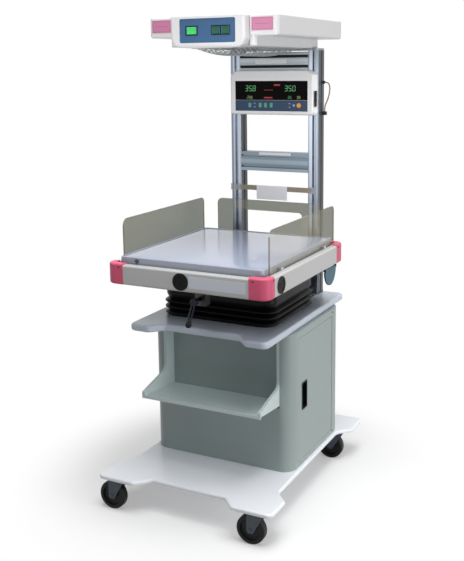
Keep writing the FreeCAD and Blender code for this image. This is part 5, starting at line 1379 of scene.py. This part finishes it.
# %% [markdown]
# ## Label borders
# The two pink labels on the wings have a thin dark border printed inside their edge, and one plain line
# across them. Both are films, so they stand proud by a hair only.

# %% Label borders and lines
LABEL_SPANS = (("right", 0.153, 0.233), ("left", -0.241, -0.164))
LABEL_BORDER = 0.0007
LABEL_BORDER_GROW = (-0.003, -0.004)
LABEL_LINE_INSET = 0.012
LABEL_LINE_HALF = 0.0006
INK_PROUD = 0.0002

label_low, label_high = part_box("wing_labels")
label_front = label_low[1]
line_z = (label_low[2] + label_high[2]) / 2
for side, x0, x1 in LABEL_SPANS:
    low = (x0, label_front, label_low[2])
    high = (x1, label_front, label_high[2])
    name = f"label_border_{side}"
    thin_frame(name, low, high, LABEL_BORDER_GROW, label_front, LABEL_BORDER, INK_PROUD, label_line)
    line_low = (x0 + LABEL_LINE_INSET, label_front - INK_PROUD, line_z - LABEL_LINE_HALF)
    line_high = (x1 - LABEL_LINE_INSET, label_front + SUNK, line_z + LABEL_LINE_HALF)
    finish(new_block(f"label_line_{side}", line_low, line_high, 0.0001, 1), label_line, "chassis")
print("label borders:", len(LABEL_SPANS))

# %% [markdown]
# ## Painted shade in the slots of the top beam
# The two slots in the front of the top beam lie in shade and show as dark bands, so a black strip in
# each paints that shade. Each is a long strip with rounded edges, pressed into the slot and a little
# wider than it.

# %% Painted shade strips in the slots
SLOT_SHADE_HALF = 0.0056
SLOT_SHADE_PROUD = 0.0007
SLOT_INSET = 0.017
top_beam_low, top_beam_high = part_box("top_beam")
# Black strips as painted shade in the two slots.
for name, z in (("lower", top_beam_low[2] + SLOT_INSET), ("upper", top_beam_high[2] - SLOT_INSET)):
    strip = new_block(
        "slot_shade_strip_" + name,
        (top_beam_low[0] + 0.0015, top_beam_low[1] - SLOT_SHADE_PROUD, z - SLOT_SHADE_HALF),
        (top_beam_high[0] - 0.0015, top_beam_low[1] + 0.0008, z + SLOT_SHADE_HALF),
        0.0006,
        3,
    )
    finish(strip, frame_black, "chassis")
print("slot shade strips: 2")

# %% [markdown]
# ## Dark plate for the shade in the slot of the control box
# A dark plate fills the slot in the right end of the control box and paints the shade of the slot's
# recess. Its raised ribs are rounded bars, which are joined to the plate.

# %% Painted shade plate in the slot
box_low, box_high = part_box("control_box")
SLOT_SHADE_LOW = (box_high[0] - 0.0052, box_low[1] + 0.0070, 1.4305)
SLOT_SHADE_HIGH = (box_high[0] - 0.0022, 0.3290, 1.4915)
SLOT_SHADE_RIBS = 7
RIB_ROOT = 0.0005
RIB_PROUD = 0.0009
RIB_END = 0.002
RIB_HALF = 0.0012


def make_slot_shade_plate():
    """Dark plate with level ribs that face right, painted shade in the slot."""
    parts = [new_block("slot_shade_plate", SLOT_SHADE_LOW, SLOT_SHADE_HIGH, 0.0004, 2)]
    height = SLOT_SHADE_HIGH[2] - SLOT_SHADE_LOW[2]
    for index in range(SLOT_SHADE_RIBS):
        z = SLOT_SHADE_LOW[2] + height * (index + 1) / (SLOT_SHADE_RIBS + 1)
        low = (SLOT_SHADE_HIGH[0] - RIB_ROOT, SLOT_SHADE_LOW[1] + RIB_END, z - RIB_HALF)
        high = (SLOT_SHADE_HIGH[0] + RIB_PROUD, SLOT_SHADE_HIGH[1] - RIB_END, z + RIB_HALF)
        parts.append(new_block("rib", low, high, 0.0004, 2))
    finish(join(parts), frame_black, "chassis")


make_slot_shade_plate()
print("slot shade plate ribs:", SLOT_SHADE_RIBS)
